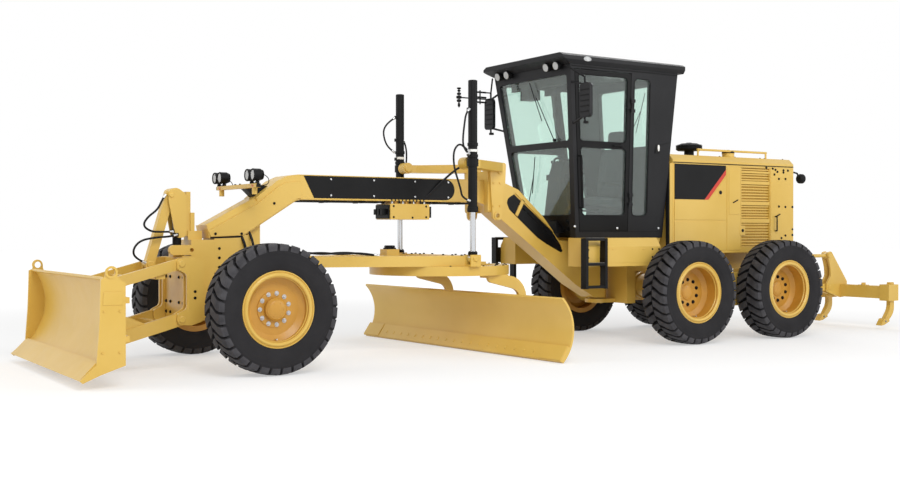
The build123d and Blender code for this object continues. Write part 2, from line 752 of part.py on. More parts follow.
def makeLiftCylinders():
    barrel = cylinderZ(liftX, liftY, barrelFoot, barrelTop, liftBarrelRadius)
    barrel = barrel + cylinderZ(liftX, liftY, trunnionHeight - 40, trunnionHeight + 40, liftBarrelRadius + 12)
    barrel = barrel + cylinderZ(liftX, liftY, barrelFoot, barrelFoot + 60, liftBarrelRadius + 6)
    barrel = barrel + cylinderY(liftX, trunnionHeight, 590, liftY, 28)
    # The barrel is open inside and its gland is bored for the rod
    barrel = barrel - cylinderZ(liftX, liftY, barrelFoot - 1, barrelFoot + 70, liftRodRadius + fitGap)
    barrel = barrel - cylinderZ(liftX, liftY, barrelFoot + 60, barrelTop - 40, liftRodRadius + 8)
    rod = cylinderZ(liftX, liftY, liftPinHeight + 30, barrelTop - 480, liftRodRadius)
    rod = rod + cylinderZ(liftX, liftY, liftPinHeight + 44, liftPinHeight + 74, liftRodRadius + 10)
    rod = rod + cylinderY(liftX, liftPinHeight, liftY - 35, liftY + 35, 50)
    put("lift_barrel_left", barrel)
    put("lift_barrel_right", mirrored(barrel))
    put("lift_rod_left", rod)
    put("lift_rod_right", mirrored(rod))


# Front axle
def makeFrontAxle():
    profile = [
        (-leanPinY - 55, 370), (-leanPinY - 55, 500), (-430, 600), (-200, 740), (200, 740), (430, 600),
        (leanPinY + 55, 500), (leanPinY + 55, 370), (430, 450), (200, 560), (-200, 560), (-430, 450),
    ]
    axle = front(profile, wheelBase - 80, wheelBase + 80)
    axle = axle + bar((5846, 0, axlePinHeight), (6064, 0, axlePinHeight), 110)
    axle = axle - bar((5800, 0, axlePinHeight), (6100, 0, axlePinHeight), 46)
    for hand in (1, -1):
        y0, y1 = sorted((hand * 610, hand * 800))
        axle = axle - slab(wheelBase - 48, wheelBase + 48, y0, y1, 300, 600)
        axle = axle + bar((wheelBase - 80, hand * leanPinY, leanPinHeight),
                          (wheelBase + 80, hand * leanPinY, leanPinHeight), 22)
    put("front_axle", axle)
    yoke = slab(wheelBase - 42, wheelBase + 42, 690, 768, leanPinHeight - 45, leanPinHeight + 45)
    yoke = yoke + bar((wheelBase - 42, leanPinY, leanPinHeight), (wheelBase + 42, leanPinY, leanPinHeight), 45)
    yoke = yoke + slab(wheelBase - 42, wheelBase + 42, 752, 768, 365, 800)
    for z0, z1 in ((365, 415), (750, 800)):
        yoke = yoke + slab(wheelBase - 42, wheelBase + 42, 752, kingpinY, z0, z1)
        yoke = yoke + bar((wheelBase, kingpinY, z0), (wheelBase, kingpinY, z1), 42)
    yoke = yoke - bar((wheelBase - 43, leanPinY, leanPinHeight), (wheelBase + 43, leanPinY, leanPinHeight), 23)
    yoke = yoke - slab(wheelBase - 90, wheelBase + 90, 700, 751, 480, 900)
    yoke = yoke + bar((wheelBase, kingpinY, 365), (wheelBase, kingpinY, 800), 16)
    put("lean_yoke_left", yoke)
    put("lean_yoke_right", mirrored(yoke))
    knuckle = bar((wheelBase, kingpinY, 417), (wheelBase, kingpinY, 748), 30)
    knuckle = knuckle + cylinderY(wheelBase, axleHeight, kingpinY, 1052, 36)
    knuckle = knuckle + cylinderY(wheelBase, axleHeight, kingpinY + 60, 1052, spindleRadius)
    knuckle = knuckle - bar((wheelBase, kingpinY, 400), (wheelBase, kingpinY, 760), 17)
    put("knuckle_left", knuckle)
    put("knuckle_right", mirrored(knuckle))


# Drawbar, circle and blade
def makeDrawbar():
    half = 60
    leg = plan([(ballX - 60, half), (ballX - 60, -20), (5500, -20), (liftX - 140, 560),
                (liftX - 140, 700), (liftX + 60, 700)], drawbarBottom, drawbarTop)
    frame = leg + mirrored(leg)
    frame = frame + slab(liftX - 140, liftX + 60, -700, 700, drawbarBottom, drawbarTop)
    frame = frame + slab(4280, 4420, -300, 300, drawbarBottom, drawbarTop)
    frame = frame + Pos(ballX, 0, ballHeight) * Sphere(58)
    frame = frame + slab(ballX - 80, ballX - 30, -45, 45, ballHeight - 25, ballHeight + 30)
    # Plate that the circle hangs from
    frame = frame + slab(3000, 4300, -180, 180, drawbarBottom, drawbarBottom + 30)
    for y0 in (liftY - 35 - 6 - 20, liftY + 35 + 6):
        ear = slab(liftX - 60, liftX + 60, y0, y0 + 20, drawbarBottom, liftPinHeight + 40)
        frame = frame + ear + mirrored(ear)
    base = slab(liftX - 60, liftX + 60, 680, liftY + 61, drawbarBottom, drawbarBottom + 20)
    frame = frame + base + mirrored(base)
    frame = frame + slab(4050, 4200, -75, 75, drawbarBottom + 30, 1105)
    put("drawbar", frame)


def turned(shape):
    """Turns a piece with the circle to its parked blade angle."""
    return Pos(circleX, 0, 0) * Rot(0, 0, bladeAngle) * Pos(-circleX, 0, 0) * shape


def makeCircle():
    ringPart = cylinderZ(circleX, 0, circleBottom, circleTop, circleRadius)
    ringPart = ringPart - cylinderZ(circleX, 0, circleBottom - 1, circleTop + 1, circleBore)
    # Internal teeth of the turning drive
    pitch = 2 * math.pi * circleBore / circleTeeth
    tip, root = circleBore - toothDepth, circleBore + 6
    tooth = plan([(tip, -0.16 * pitch), (root, -0.3 * pitch), (root, 0.3 * pitch), (tip, 0.16 * pitch)],
                 circleBottom + 20, circleTop)
    teeth = [Pos(circleX, 0, 0) * Rot(0, 0, k * 360 / circleTeeth) * tooth for k in range(circleTeeth)]
    ringPart = ringPart.fuse(*teeth)
    armTop = circleBottom + 5
    arm = side([
        (circleX - 150, armTop), (2830, armTop - 30, 250), (2830, 300, 160),
        (tiltPinX - 60, tiltPinHeight - 60, 40),
        (tiltPinX + 50, tiltPinHeight - 60, 45), (tiltPinX + 50, tiltPinHeight + 50, 45), (2930, 330, 60),
        (2925, 660, 110), (circleX - 150, armTop - 75, 60),
    ], armInner, armOuter)
    arm = arm & cylinderZ(circleX, 0, 100, armTop, 1200)
    foot = slab(circleX - 420, circleX - 150, 540, armOuter, circleBottom - 30, circleBottom + 2)
    pin = cylinderY(tiltPinX, tiltPinHeight, armInner - 45, armOuter, 22)
    group = ringPart + arm + mirrored(arm) + foot + mirrored(foot) + pin + mirrored(pin)
    put("circle", turned(group))


def bladeCentreShift():
    """Slide along the blade that brings its middle over the machine's middle line."""
    return -(bladeFace + 67 - circleX) * math.tan(math.radians(bladeAngle))


def makeBlade():
    hold = 34.0
    backX = bladeFace - bladeThickness
    bracket = side([
        (tiltPinX - 40, tiltPinHeight - 35), (tiltPinX + 30, tiltPinHeight - 45),
        (backX - 45, railLowHeight - hold), (backX - 5, railLowHeight - hold),
        (backX - 5, railHighHeight + hold), (backX - 60, railHighHeight + hold),
        (tiltPinX - 40, tiltPinHeight + 60),
    ], armInner - 46, armInner - 6)
    bracket = bracket - cylinderY(tiltPinX, tiltPinHeight, armInner - 50, armInner, 23)
    tie = slab(tiltPinX + 60, tiltPinX + 120, -armInner + 40, armInner - 40, 280, 340)
    carrier = bracket + mirrored(bracket) + tie
    for z in (railLowHeight, railHighHeight):
        carrier = carrier - slab(backX - 40.5, backX + 10, -800, 800, z - 16.5, z + 16.5)
    centre = (bladeFace + bladeRadius, bladeClearance + bladeHeight / 2)
    half = math.degrees(math.asin(bladeHeight / 2 / bladeRadius))
    board = arcPlate(centre, bladeRadius, bladeThickness, 180 - half, 2 * half, bladeLength / 2)
    for z in (railLowHeight, railHighHeight):
        board = board + slab(backX - 40, backX + 60, -1400, 1400, z - 16, z + 16)
    bowl = arcPlate(centre, 10, bladeRadius - 10, 180 - half, 2 * half, bladeLength)
    board = board - bowl
    # Cutting edge bolted to the foot of the board
    footX = bladeFace + bladeRadius - math.sqrt(bladeRadius ** 2 - (bladeHeight / 2) ** 2)
    edge = side([(footX - 10, bladeClearance), (footX - 102, bladeClearance + 130),
                 (footX - 76, bladeClearance + 148), (footX + 22, bladeClearance + 10),
                 (footX + 18, bladeClearance)], -bladeLength / 2, bladeLength / 2)
    board = board + edge
    board = Pos(0, bladeCentreShift(), 0) * board
    put("blade_carrier", turned(carrier))
    put("moldboard", turned(board))


def arcPlate(centre, radius, thickness, start, sweepAngle, half):
    """Rolled plate across the machine, about a centre given as (x, z)."""
    x, z = centre
    points = []
    for reach in (radius, radius + thickness):
        for k in (0, 0.5, 1):
            angle = math.radians(start + k * sweepAngle)
            points.append((x + reach * math.cos(angle), -half, z + reach * math.sin(angle)))
    inner = ThreePointArc(*points[:3])
    outer = ThreePointArc(*points[3:])
    wire = Wire([inner, Line(points[2], points[5]), outer, Line(points[3], points[0])])
    return extrude(make_face(wire), amount=2 * half, dir=(0, 1, 0))


# Push blade
def makeDozer():
    makeDozerMount()
    makeDozerArms()
    makeDozerHead()
    makeDozerBlade()


def makeDozerMount():
    mount = slab(6150.3, 6470, -beamHalf, beamHalf, 450, 1060)
    mount = mount + slab(6150.3, 6380, -beamHalf, beamHalf, 1060, 1215)
    mount = mount + slab(6240, 6380, -60, 60, 1215, 1300)
    mount = mount + slab(6450, 6490, -400, 400, dozerPinLow - 50, dozerPinHigh + 55)
    lobe = 45
    cheek = side([
        (6470, dozerPinLow - 60, 30), (dozerPinX + lobe, dozerPinLow - 45, lobe),
        (dozerPinX + lobe, dozerPinLow + 50, 30),
        (dozerPinX - 45, dozerPinLow + 95, 50), (dozerPinX - 45, dozerPinHigh - 95, 50),
        (dozerPinX + lobe, dozerPinHigh - 50, 30), (dozerPinX + lobe, dozerPinHigh + 45, lobe),
        (6440, dozerPinHigh + 55, 20), (6350, dozerPinHigh + 20), (6350, dozerPinLow - 20, 30),
    ], 370, 400)
    inner = Pos(0, -90, 0) * cheek
    web = slab(6350, 6380, beamHalf, 395, dozerPinLow, dozerPinHigh)
    mount = mount + cheek + inner + web + mirrored(cheek + inner + web)
    for z in (dozerPinLow, dozerPinHigh):
        for hand in (1, -1):
            mount = mount + cylinderY(dozerPinX, z, *sorted((hand * 285, hand * 395)), 20)
    # Guide post and the locking arm beside it
    mount = mount + slab(mastX - 25, mastX + 20, -mastHalf, mastHalf, 1250, mastTop)
    mount = mount + slab(mastX - 60, mastX - 20, -mastHalf - 15, mastHalf + 15, 1200, mastTop - 200)
    lock = side([(6340, 1070), (6594, 1070, 47), (6594, 1165, 47), (6340, 1165)], 105, beamHalf)
    mount = mount + lock - cylinderY(mastX, 1117, 104, beamHalf + 1, 20)
    mount = mount + slab(6420, 6530, -60, 60, 1050, 1110)
    put("dozer_mount", mount)
    barrel = bar((liftBarrelX, 0, 1110 + slipGap), (liftBarrelX, 0, 1500), 42)
    barrel = barrel - bar((liftBarrelX, 0, 1125), (liftBarrelX, 0, 1501), 26)
    put("dozer_lift_barrel", barrel)


def dozerArm(z, height):
    """Left arm of one pair, with an eye at each end."""
    start = (dozerPinX, dozerArmY, z)
    end = (dozerPinX + dozerReach, dozerArmY, z - dozerDrop)
    piece = beam(start, end, dozerArmWidth, height)
    for x, y, zz in (start, end):
        piece = piece + cylinderY(x, zz, y - dozerArmWidth / 2, y + dozerArmWidth / 2, height / 2)
        piece = piece - cylinderY(x, zz, y - 40, y + 40, 21)
    return piece


def makeDozerArms():
    upper = dozerArm(dozerPinHigh, 100)
    upper = upper + mirrored(upper)
    crossTop = strutFootHeight - 66
    upper = upper + slab(strutFootX - 45, strutFootX + 45, -dozerArmY, dozerArmY, crossTop - 65, crossTop)
    earTop = strutFootHeight + 40
    ear = side([(strutFootX - 45, crossTop - 20), (strutFootX + 45, crossTop - 20),
                (strutFootX + 45, earTop, 44), (strutFootX - 45, earTop, 44)], 48, 62)
    upper = upper + ear + mirrored(ear) + slab(6990, 7050, -dozerArmY, dozerArmY, 830, 890)
    put("dozer_upper_arms", upper)
    lower = dozerArm(dozerPinLow, 120)
    lower = lower + mirrored(lower) + slab(6700, 6770, -dozerArmY, dozerArmY, 400, 460)
    lower = lower + slab(7020, 7090, -dozerArmY, dozerArmY, 320, 380)
    gusset = side([(6840, 430), (7090, 350), (7110, 520, 25), (7060, 520, 25)], dozerArmY - 10, dozerArmY + 10)
    put("dozer_lower_frame", lower + gusset + mirrored(gusset))


def makeDozerHead():
    rear = mastX + 27
    tip = strutHeadX + 30
    top = strutHeadHeight + 63
    low = strutHeadHeight - shroudDrop
    shroud = side([(rear, low, 44), (tip - 70, low, 44), (tip, strutHeadHeight - 60, 80), (tip, top - 20, 50),
                   (rear + 90, top, 60), (rear, top - 60, 60)], -shroudHalf, shroudHalf)
    inner = shroudHalf - shroudWall
    shroud = shroud - slab(6300, 6700, -inner, inner, low - 1, strutHeadHeight)
    foot = (strutFootX, 0, strutFootHeight)
    strut = beam((strutHeadX - 5, 0, strutHeadHeight + 15), foot, 80, 86)
    strut = strut + cylinderY(strutFootX, strutFootHeight, -40, 40, 43)
    head = shroud + strut + bar((liftBarrelX, 0, 1215), (liftBarrelX, 0, strutHeadHeight + 5), 25)
    put("dozer_lift_head", head)


def makeDozerBlade():
    endOutline = [
        (dozerBack, 189), (dozerBack, 873), (dozerEyeX - 50, dozerEyeHeight - 50, 40),
        (dozerEyeX - 45, dozerEyeHeight + 45, 44), (dozerEyeX + 45, dozerEyeHeight + 45, 44),
        (dozerEyeX + 50, dozerEyeHeight - 40, 20), (7554, 905), (7566, 527, 900),
        (7590, 204), (dozerTip, 84), (7700, 62), (7560, 120), (7470, 150),
    ]
    end = side(endOutline, dozerHalf - endPlate, dozerHalf)
    end = end - cylinderY(dozerEyeX, dozerEyeHeight, dozerHalf - endPlate - 1, dozerHalf + 1, dozerEyeRadius)
    boardHalf = dozerHalf - endPlate
    board = rolledBoard([(7500, 905), (7405, 560), (7575, 200)], 20, boardHalf)
    lip = side([(7462, 880), (7462, 905), (7530, 925, 6), (7530, 900, 6)], -boardHalf, boardHalf)
    edge = side([(7545, 205), (7575, 235), (7592, 220), (dozerTip, 84), (7700, 70)], -boardHalf, boardHalf)
    blade = board + lip + edge + end + mirrored(end)
    # Back ribs and the ears that the arms are pinned to
    spine = side([(7300, 240, 30), (7300, 860, 30), (7420, 880), (7385, 560), (7470, 300), (7500, 240)], 0, 20)
    for y in (280, 370, 900):
        rib = Pos(0, y, 0) * spine
        blade = blade + rib + mirrored(rib)
    for z0, z1 in ((380, 430), (700, 750)):
        blade = blade + slab(7310, 7395, -boardHalf, boardHalf, z0, z1)
    pinX = dozerPinX + dozerReach
    for z in (dozerPinLow - dozerDrop, dozerPinHigh - dozerDrop):
        for y0 in (280, 370):
            ear = slab(pinX, 7310, y0, y0 + 30, z - 45, z + 45) + cylinderY(pinX, z, y0, y0 + 30, 45)
            blade = blade + ear + mirrored(ear)
        for hand in (1, -1):
            blade = blade + cylinderY(pinX, z, *sorted((hand * 285, hand * 395)), 20)
    put("dozer_blade", blade)


def rolledBoard(points, thickness, half):
    """Curved board through three (x, z) points on its front face."""
    face = [(x, -half, z) for x, z in points]
    back = [(x - thickness, -half, z) for x, z in points]
    wire = Wire([ThreePointArc(*face), Line(face[2], back[2]), ThreePointArc(*back), Line(back[0], face[0])])
    return extrude(make_face(wire), amount=2 * half, dir=(0, 1, 0))


# Ripper
def ripperLink(z, height, width, makeBody):
    """Left link of one pair, with an eye at each end."""
    endX = ripperPinX - ripperReach
    piece = makeBody((ripperPinX, ripperLinkY, z), (endX, ripperLinkY, z))
    for x in (ripperPinX, endX):
        piece = piece + cylinderY(x, z, ripperLinkY - width / 2, ripperLinkY + width / 2, height)
        piece = piece - cylinderY(x, z, ripperLinkY - 40, ripperLinkY + 40, 23)
    return piece


def makeRipper():
    endX = ripperPinX - ripperReach
    lower = ripperLink(ripperPinLow, 48, 50, lambda a, b: beam(a, b, 50, 90))
    lower = lower + mirrored(lower) + slab(-2120, -2050, -ripperLinkY, ripperLinkY, 490, 570)
    crossX = endX + 95
    lower = lower + slab(crossX, crossX + 30, -ripperLinkY, ripperLinkY, ripperPinLow - 40, ripperPinLow + 40)
    for y0 in (-62, 42):
        ear = slab(crossX + 25, ripperEyeX, y0, y0 + 20, ripperEyeHeight - 60, ripperEyeHeight + 45)
        lower = lower + ear + cylinderY(ripperEyeX, ripperEyeHeight, y0, y0 + 20, 45)
    put("ripper_lower_link", lower)
    upper = ripperLink(ripperPinHigh, 42, 50, lambda a, b: bar(a, b, 24))
    upper = upper + mirrored(upper) + cylinderY(-2240, ripperPinHigh, -ripperLinkY, ripperLinkY, 20)
    put("ripper_upper_link", upper)

    tower = side([
        (endX + 45, ripperPinHigh + 50, 40), (endX - 40, ripperPinHigh + 60, 40),
        (-2995, ripperBeamHigh + 40, 40),
        (-2995, ripperBeamLow, 20), (-2860, ripperBeamLow - 15, 20), (endX + 50, ripperPinLow - 60, 45),
        (endX + 50, ripperPinLow + 50, 45), (endX - 30, 690, 60), (endX - 20, 800, 60),
    ], 0, 25)
    frame = Pos(0, ripperLinkY + 31, 0) * tower + Pos(0, ripperLinkY - 56, 0) * tower
    frame = frame + mirrored(frame)
    for z in (ripperPinLow, ripperPinHigh):
        for hand in (1, -1):
            y = hand * ripperLinkY
            frame = frame + cylinderY(endX, z, y - 50, y + 50, 22)
    half = ripperHalf - 40
    frame = frame + slab(ripperBeamX - 75, ripperBeamX + 75, -half, half, ripperBeamLow, ripperBeamHigh)
    shank = side([
        (-2985, 620, 15), (-2915, 620, 15), (-2905, 270, 150), (-2800, 130), (-2740, 118),
        (-2712, 62, 8), (-2748, 66), (-2860, 105), (-2990, 215, 190),
    ], -30, 30)
    point = side([(-2860, 150), (-2770, 142), (-2700, 52, 6), (-2775, 62), (-2880, 105)], -42, 42)
    for y in (-1000, 0, 1000):
        pocket = slab(ripperBeamX - 100, ripperBeamX + 100, y - 73, y + 73,
                      ripperBeamLow - 25, ripperBeamHigh + 25)
        frame = frame + pocket + Pos(0, y, 0) * (shank + point)
    put("ripper_frame", frame)

    start = Vector(ripperPinX, 0, ripperBarrelPinHeight)
    end = Vector(ripperEyeX, 0, ripperEyeHeight)
    along = (end - start).normalized()
    full = (end - start).length
    barrel = bar(start + along * 40, start + along * 425, 38)
    barrel = barrel + cylinderY(ripperPinX, ripperBarrelPinHeight, -35, 35, 45)
    barrel = barrel - cylinderY(ripperPinX, ripperBarrelPinHeight, -36, 36, 21)
    barrel = barrel - bar(start + along * 70, start + along * 426, 26)
    rod = bar(start + along * 270, start + along * (full - 10), 25)
    rod = rod + cylinderY(ripperEyeX, ripperEyeHeight, -36, 36, 40)
    put("ripper_barrel", barrel)
    put("ripper_rod", rod)


def makeAll():
    makeWheels()
    makeTandems()
    makeRearAxle()
    makeRearFrame()
    makeLadders()
    makeHood()
    makeCab()
    makeInterior()
    makeMirrors()
    makeFrontFrame()
    makeLamps()
    makeSaddle()
    makeLiftCylinders()
    makeFrontAxle()
    makeDrawbar()
    makeCircle()
    makeBlade()
    makeDozer()
    makeRipper()


def middle():
    """Half way between the foremost and the rearmost point."""
    boxes = [shape.bounding_box() for shape in nodes.values()]
    return (min(b.min.X for b in boxes) + max(b.max.X for b in boxes)) / 2


if __name__ == "__main__":
    makeAll()
    shift = -middle()
    os.makedirs("parts", exist_ok=True)
    for name, shape in nodes.items():
        export_step(Pos(shift, 0, 0) * shape, "parts/" + name + ".step")
    print(len(nodes), "nodes, moved along x by", round(shift, 3))
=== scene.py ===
import json
import math

import bmesh
import bpy
from mathutils import Matrix, Vector


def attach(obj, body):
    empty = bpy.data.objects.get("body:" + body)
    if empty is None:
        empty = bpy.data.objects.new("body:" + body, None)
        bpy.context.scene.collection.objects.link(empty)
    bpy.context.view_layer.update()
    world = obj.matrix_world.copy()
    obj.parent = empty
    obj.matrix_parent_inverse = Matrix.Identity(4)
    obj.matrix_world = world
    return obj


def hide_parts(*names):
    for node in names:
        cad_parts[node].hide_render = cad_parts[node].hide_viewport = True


# Motor grader with a push blade and a ripper, in metres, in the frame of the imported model.
# Places of pieces are written in the machine's own millimetres: x runs forward from the middle of the
# tandems, y to the machine's left and z up from the ground.

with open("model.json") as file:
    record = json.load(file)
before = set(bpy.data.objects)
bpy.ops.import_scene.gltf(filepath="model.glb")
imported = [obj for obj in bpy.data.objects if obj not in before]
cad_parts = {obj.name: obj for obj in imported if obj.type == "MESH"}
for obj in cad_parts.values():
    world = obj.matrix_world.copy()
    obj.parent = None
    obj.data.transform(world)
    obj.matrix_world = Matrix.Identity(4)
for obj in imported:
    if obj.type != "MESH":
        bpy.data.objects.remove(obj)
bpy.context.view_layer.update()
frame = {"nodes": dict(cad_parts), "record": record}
nodes = frame["nodes"]
originX = 2352.5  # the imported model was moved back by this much
sides = ((1, "Left"), (-1, "Right"))
print("frame loaded")


# Helpers for materials
def rgb(code):
    parts = [int(code[k:k + 2], 16) / 255 for k in (1, 3, 5)]
    return tuple(c / 12.92 if c < 0.04045 else ((c + 0.055) / 1.055) ** 2.4 for c in parts) + (1.0,)


def newMaterial(name):
    material = bpy.data.materials.new(name)
    material.use_nodes = True
    material.node_tree.nodes.clear()
    return material, material.node_tree


def addNode(tree, kind, inputs=None, **settings):
    # A node given as an input stands for its first output
    node = tree.nodes.new(kind)
    for key, value in settings.items():
        setattr(node, key, value)
    for key, value in (inputs or {}).items():
        if isinstance(value, bpy.types.Node):
            value = value.outputs[0]
        if isinstance(value, bpy.types.NodeSocket):
            tree.links.new(value, node.inputs[key])
        else:
            node.inputs[key].default_value = value
    return node


def surface(tree, **inputs):
    named = {key.replace("_", " "): value for key, value in inputs.items()}
    shader = addNode(tree, "ShaderNodeBsdfPrincipled", named)
    addNode(tree, "ShaderNodeOutputMaterial", {"Surface": shader})


def grainNoise(tree, size, detail=4.0, seed=0.0):
    place = addNode(tree, "ShaderNodeTexCoord").outputs["Object"]
    shift = addNode(tree, "ShaderNodeMapping", {"Vector": place, "Location": (seed, seed, seed)})
    return addNode(tree, "ShaderNodeTexNoise", {"Vector": shift, "Scale": 1 / size, "Detail": detail})


def spread(tree, value, low, high):
    return addNode(tree, "ShaderNodeMapRange", {"Value": value, "To Min": low, "To Max": high})


def grainBump(tree, noise, strength):
    return addNode(tree, "ShaderNodeBump", {"Height": noise, "Strength": strength, "Distance": 0.001})


def patchColour(tree, noise, look, low, high):
    node = addNode(tree, "ShaderNodeValToRGB", {"Fac": noise})
    for element, place, name in zip(node.color_ramp.elements, (low, high), ("shade", "colour")):
        element.position = place
        element.color = rgb(look[name])
    return node


# Sprayed enamel over steel: nearly even colour, a faint orange peel and a soft clear shine
def paintMaterial(name, look):
    material, tree = newMaterial(name)
    colour = patchColour(tree, grainNoise(tree, look["patchSize"], 5), look, 0.3, 0.6)
    dust = grainNoise(tree, look["dustSize"], 8, 3)
    rough = spread(tree, dust, look["rough"] - 0.06, look["rough"] + 0.1)
    bump = grainBump(tree, grainNoise(tree, look["peelSize"], 2, 5), look["peel"])
    surface(tree, Base_Color=colour, Roughness=rough, Normal=bump, Metallic=0.0, Coat_Weight=look["coat"],
            Coat_Roughness=0.25, Specular_IOR_Level=look.get("shine", 0.4))
    return material


# Plated steel with a fine drawn scratch in its shine
def metalMaterial(name, look):
    material, tree = newMaterial(name)
    rough = spread(tree, grainNoise(tree, look["scratchSize"], 6), look["rough"] - 0.05, look["rough"] + 0.1)
    surface(tree, Base_Color=rgb(look["colour"]), Roughness=rough, Metallic=1.0)
    return material


# Carbon black rubber: dull, with grey dirt in patches and a fine grain from the mould
def rubberMaterial(name, look):
    material, tree = newMaterial(name)
    colour = patchColour(tree, grainNoise(tree, look["dirtSize"], 7), look, 0.35, 0.7)
    bump = grainBump(tree, grainNoise(tree, look["grainSize"], 3, 2), 0.3)
    surface(tree, Base_Color=colour, Roughness=look["rough"], Normal=bump, Specular_IOR_Level=0.2)
    return material


# Green tinted safety glass with a thin film of dust that lifts what is dark behind it
def glassMaterial(name, look):
    material, tree = newMaterial(name)
    clear = addNode(tree, "ShaderNodeBsdfTransparent", {"Color": rgb(look["tint"])})
    film = addNode(tree, "ShaderNodeBsdfDiffuse", {"Color": rgb(look["film"])})
    dusty = addNode(tree, "ShaderNodeMixShader", {0: look["filmShare"], 1: clear, 2: film})
    shine = addNode(tree, "ShaderNodeBsdfGlossy", {"Color": (1, 1, 1, 1), "Roughness": 0.03})
    # The ray isn't bent, so the inside faces take the inverse index
    index = spread(tree, addNode(tree, "ShaderNodeNewGeometry").outputs["Backfacing"], 1.45, 0.69)
    edge = addNode(tree, "ShaderNodeFresnel", {"IOR": index})
    mix = addNode(tree, "ShaderNodeMixShader", {0: edge, 1: dusty, 2: shine})
    addNode(tree, "ShaderNodeOutputMaterial", {"Surface": mix})
    return material


# Colours as they are seen, sizes of patches and grain in metres
looks = {
    "yellowPaint": {"colour": "#DFBA5D", "shade": "#D6AF4C", "patchSize": 0.9, "dustSize": 0.12,
                    "peelSize": 0.004, "peel": 0.08, "rough": 0.38, "coat": 0.25},
    "rimPaint": {"colour": "#C9953A", "shade": "#B9852C", "patchSize": 0.3, "dustSize": 0.06,
                 "peelSize": 0.004, "peel": 0.1, "rough": 0.4, "coat": 0.2},
    # Darker gold of the grille sheet in its recess is painted shade
    "grillePaint": {"colour": "#B88D2C", "shade": "#A97F22", "patchSize": 0.3, "dustSize": 0.06,
                    "peelSize": 0.003, "peel": 0.1, "rough": 0.5, "coat": 0.1},
    "redPaint": {"colour": "#D2402C", "shade": "#C23522", "patchSize": 0.4, "dustSize": 0.1,
                 "peelSize": 0.003, "peel": 0.05, "rough": 0.35, "coat": 0.2},
    "cabPaint": {"colour": "#1F1F21", "shade": "#19191B", "patchSize": 0.5, "dustSize": 0.1,
                 "peelSize": 0.003, "peel": 0.12, "rough": 0.45, "coat": 0.03, "shine": 0.2},
    "blackPaint": {"colour": "#131314", "shade": "#0E0E0F", "patchSize": 0.3, "dustSize": 0.08,
                   "peelSize": 0.003, "peel": 0.12, "rough": 0.42, "coat": 0.02, "shine": 0.15},
    "blackPlastic": {"colour": "#161617", "shade": "#101011", "patchSize": 0.3, "dustSize": 0.05,
                     "peelSize": 0.0015, "peel": 0.4, "rough": 0.6, "coat": 0.0, "shine": 0.2},
    "whiteEnamel": {"colour": "#F1F0EA", "shade": "#E6E4DC", "patchSize": 0.3, "dustSize": 0.05,
                    "peelSize": 0.002, "peel": 0.05, "rough": 0.3, "coat": 0.2},
    "castIron": {"colour": "#5A5A58", "shade": "#4A4A48", "patchSize": 0.2, "dustSize": 0.03,
                 "peelSize": 0.002, "peel": 0.6, "rough": 0.65, "coat": 0.0},
    "wornSteel": {"colour": "#8D8A84", "shade": "#6F6C66", "patchSize": 0.08, "dustSize": 0.02,
                  "peelSize": 0.002, "peel": 0.3, "rough": 0.5, "coat": 0.0},
    "seatCloth": {"colour": "#3A3B3E", "shade": "#2C2D30", "patchSize": 0.05, "dustSize": 0.01,
                  "peelSize": 0.002, "peel": 0.6, "rough": 0.85, "coat": 0.0},
    "hoseRubber": {"colour": "#1B1B1C", "shade": "#121213", "dirtSize": 0.1, "grainSize": 0.0015,
                   "rough": 0.55},
    # Lighter grey for the tops of the lugs: a painted sheen
    "lugRubber": {"colour": "#4C4B4E", "shade": "#39383B", "dirtSize": 0.09, "grainSize": 0.002,
                  "rough": 0.7},
    # Near-black for the tread's floor between the lugs: painted shade in the grooves
    "grooveRubber": {"colour": "#0D0D0E", "shade": "#090909", "dirtSize": 0.2, "grainSize": 0.002,
                     "rough": 0.9},
    "tyreRubber": {"colour": "#2B2A2C", "shade": "#232224", "dirtSize": 0.25, "grainSize": 0.002,
                   "rough": 0.78},
    "chrome": {"colour": "#D5D7DA", "scratchSize": 0.05, "rough": 0.12},
    "zincPlate": {"colour": "#C9CACB", "scratchSize": 0.02, "rough": 0.32},
    "cabGlass": {"tint": "#F3FDF9", "film": "#C9CDCB", "filmShare": 0.07},
    "lampGlass": {"tint": "#F4F6F6", "film": "#F2F4F4", "filmShare": 0.55},
    "amberGlass": {"tint": "#F2A13A", "film": "#E88A1E", "filmShare": 0.5},
    "redGlass": {"tint": "#C8251C", "film": "#B21E17", "filmShare": 0.6},
}
makers = {"Rubber": rubberMaterial, "chrome": metalMaterial, "Plate": metalMaterial, "Glass": glassMaterial}
materials = {}
for name, look in looks.items():
    maker = [makers[end] for end in makers if name.endswith(end)] or [paintMaterial]
    materials[name] = maker[0](name, look)

slotLooks = {
    "yellow_paint": "yellowPaint", "rim_paint": "rimPaint", "black_paint": "blackPaint",
    "cab_paint": "cabPaint",
    "glass": "cabGlass", "plastic": "blackPlastic", "seat_cloth": "seatCloth", "chrome": "chrome",
    "cast_iron": "castIron", "tyre": "tyreRubber",
}
# The record's slot that each finish of a new piece belongs to
slotOf = {look: slot for slot, look in slotLooks.items()}
slotOf.update({"lugRubber": "tyre", "grooveRubber": "tyre", "grillePaint": "rim_paint", "redPaint": "plastic",
               "whiteEnamel": "plastic", "wornSteel": "cast_iron", "hoseRubber": "plastic",
               "zincPlate": "chrome",
               "lampGlass": "glass", "amberGlass": "glass", "redGlass": "glass"})
for part in frame["record"]["subparts"]:
    # The doors are a shade blacker than the cab
    isDoor = part["node"] in ("door_left", "door_right")
    look = "blackPaint" if isDoor else slotLooks[part["material_slot"]]
    surfaces = nodes[part["node"]].data.materials
    surfaces.clear()
    surfaces.append(materials[look])
print("materials ready")


# Floor, lights and camera
studio = {"floorColour": "#FFFFFF", "floorSize": 60, "floorSeen": "#C8C8C8", "glowNear": 0.46,
          "glowFar": 0.78, "glowFrom": 5.0, "glowTo": 15.0, "worldStrength": 0.46}
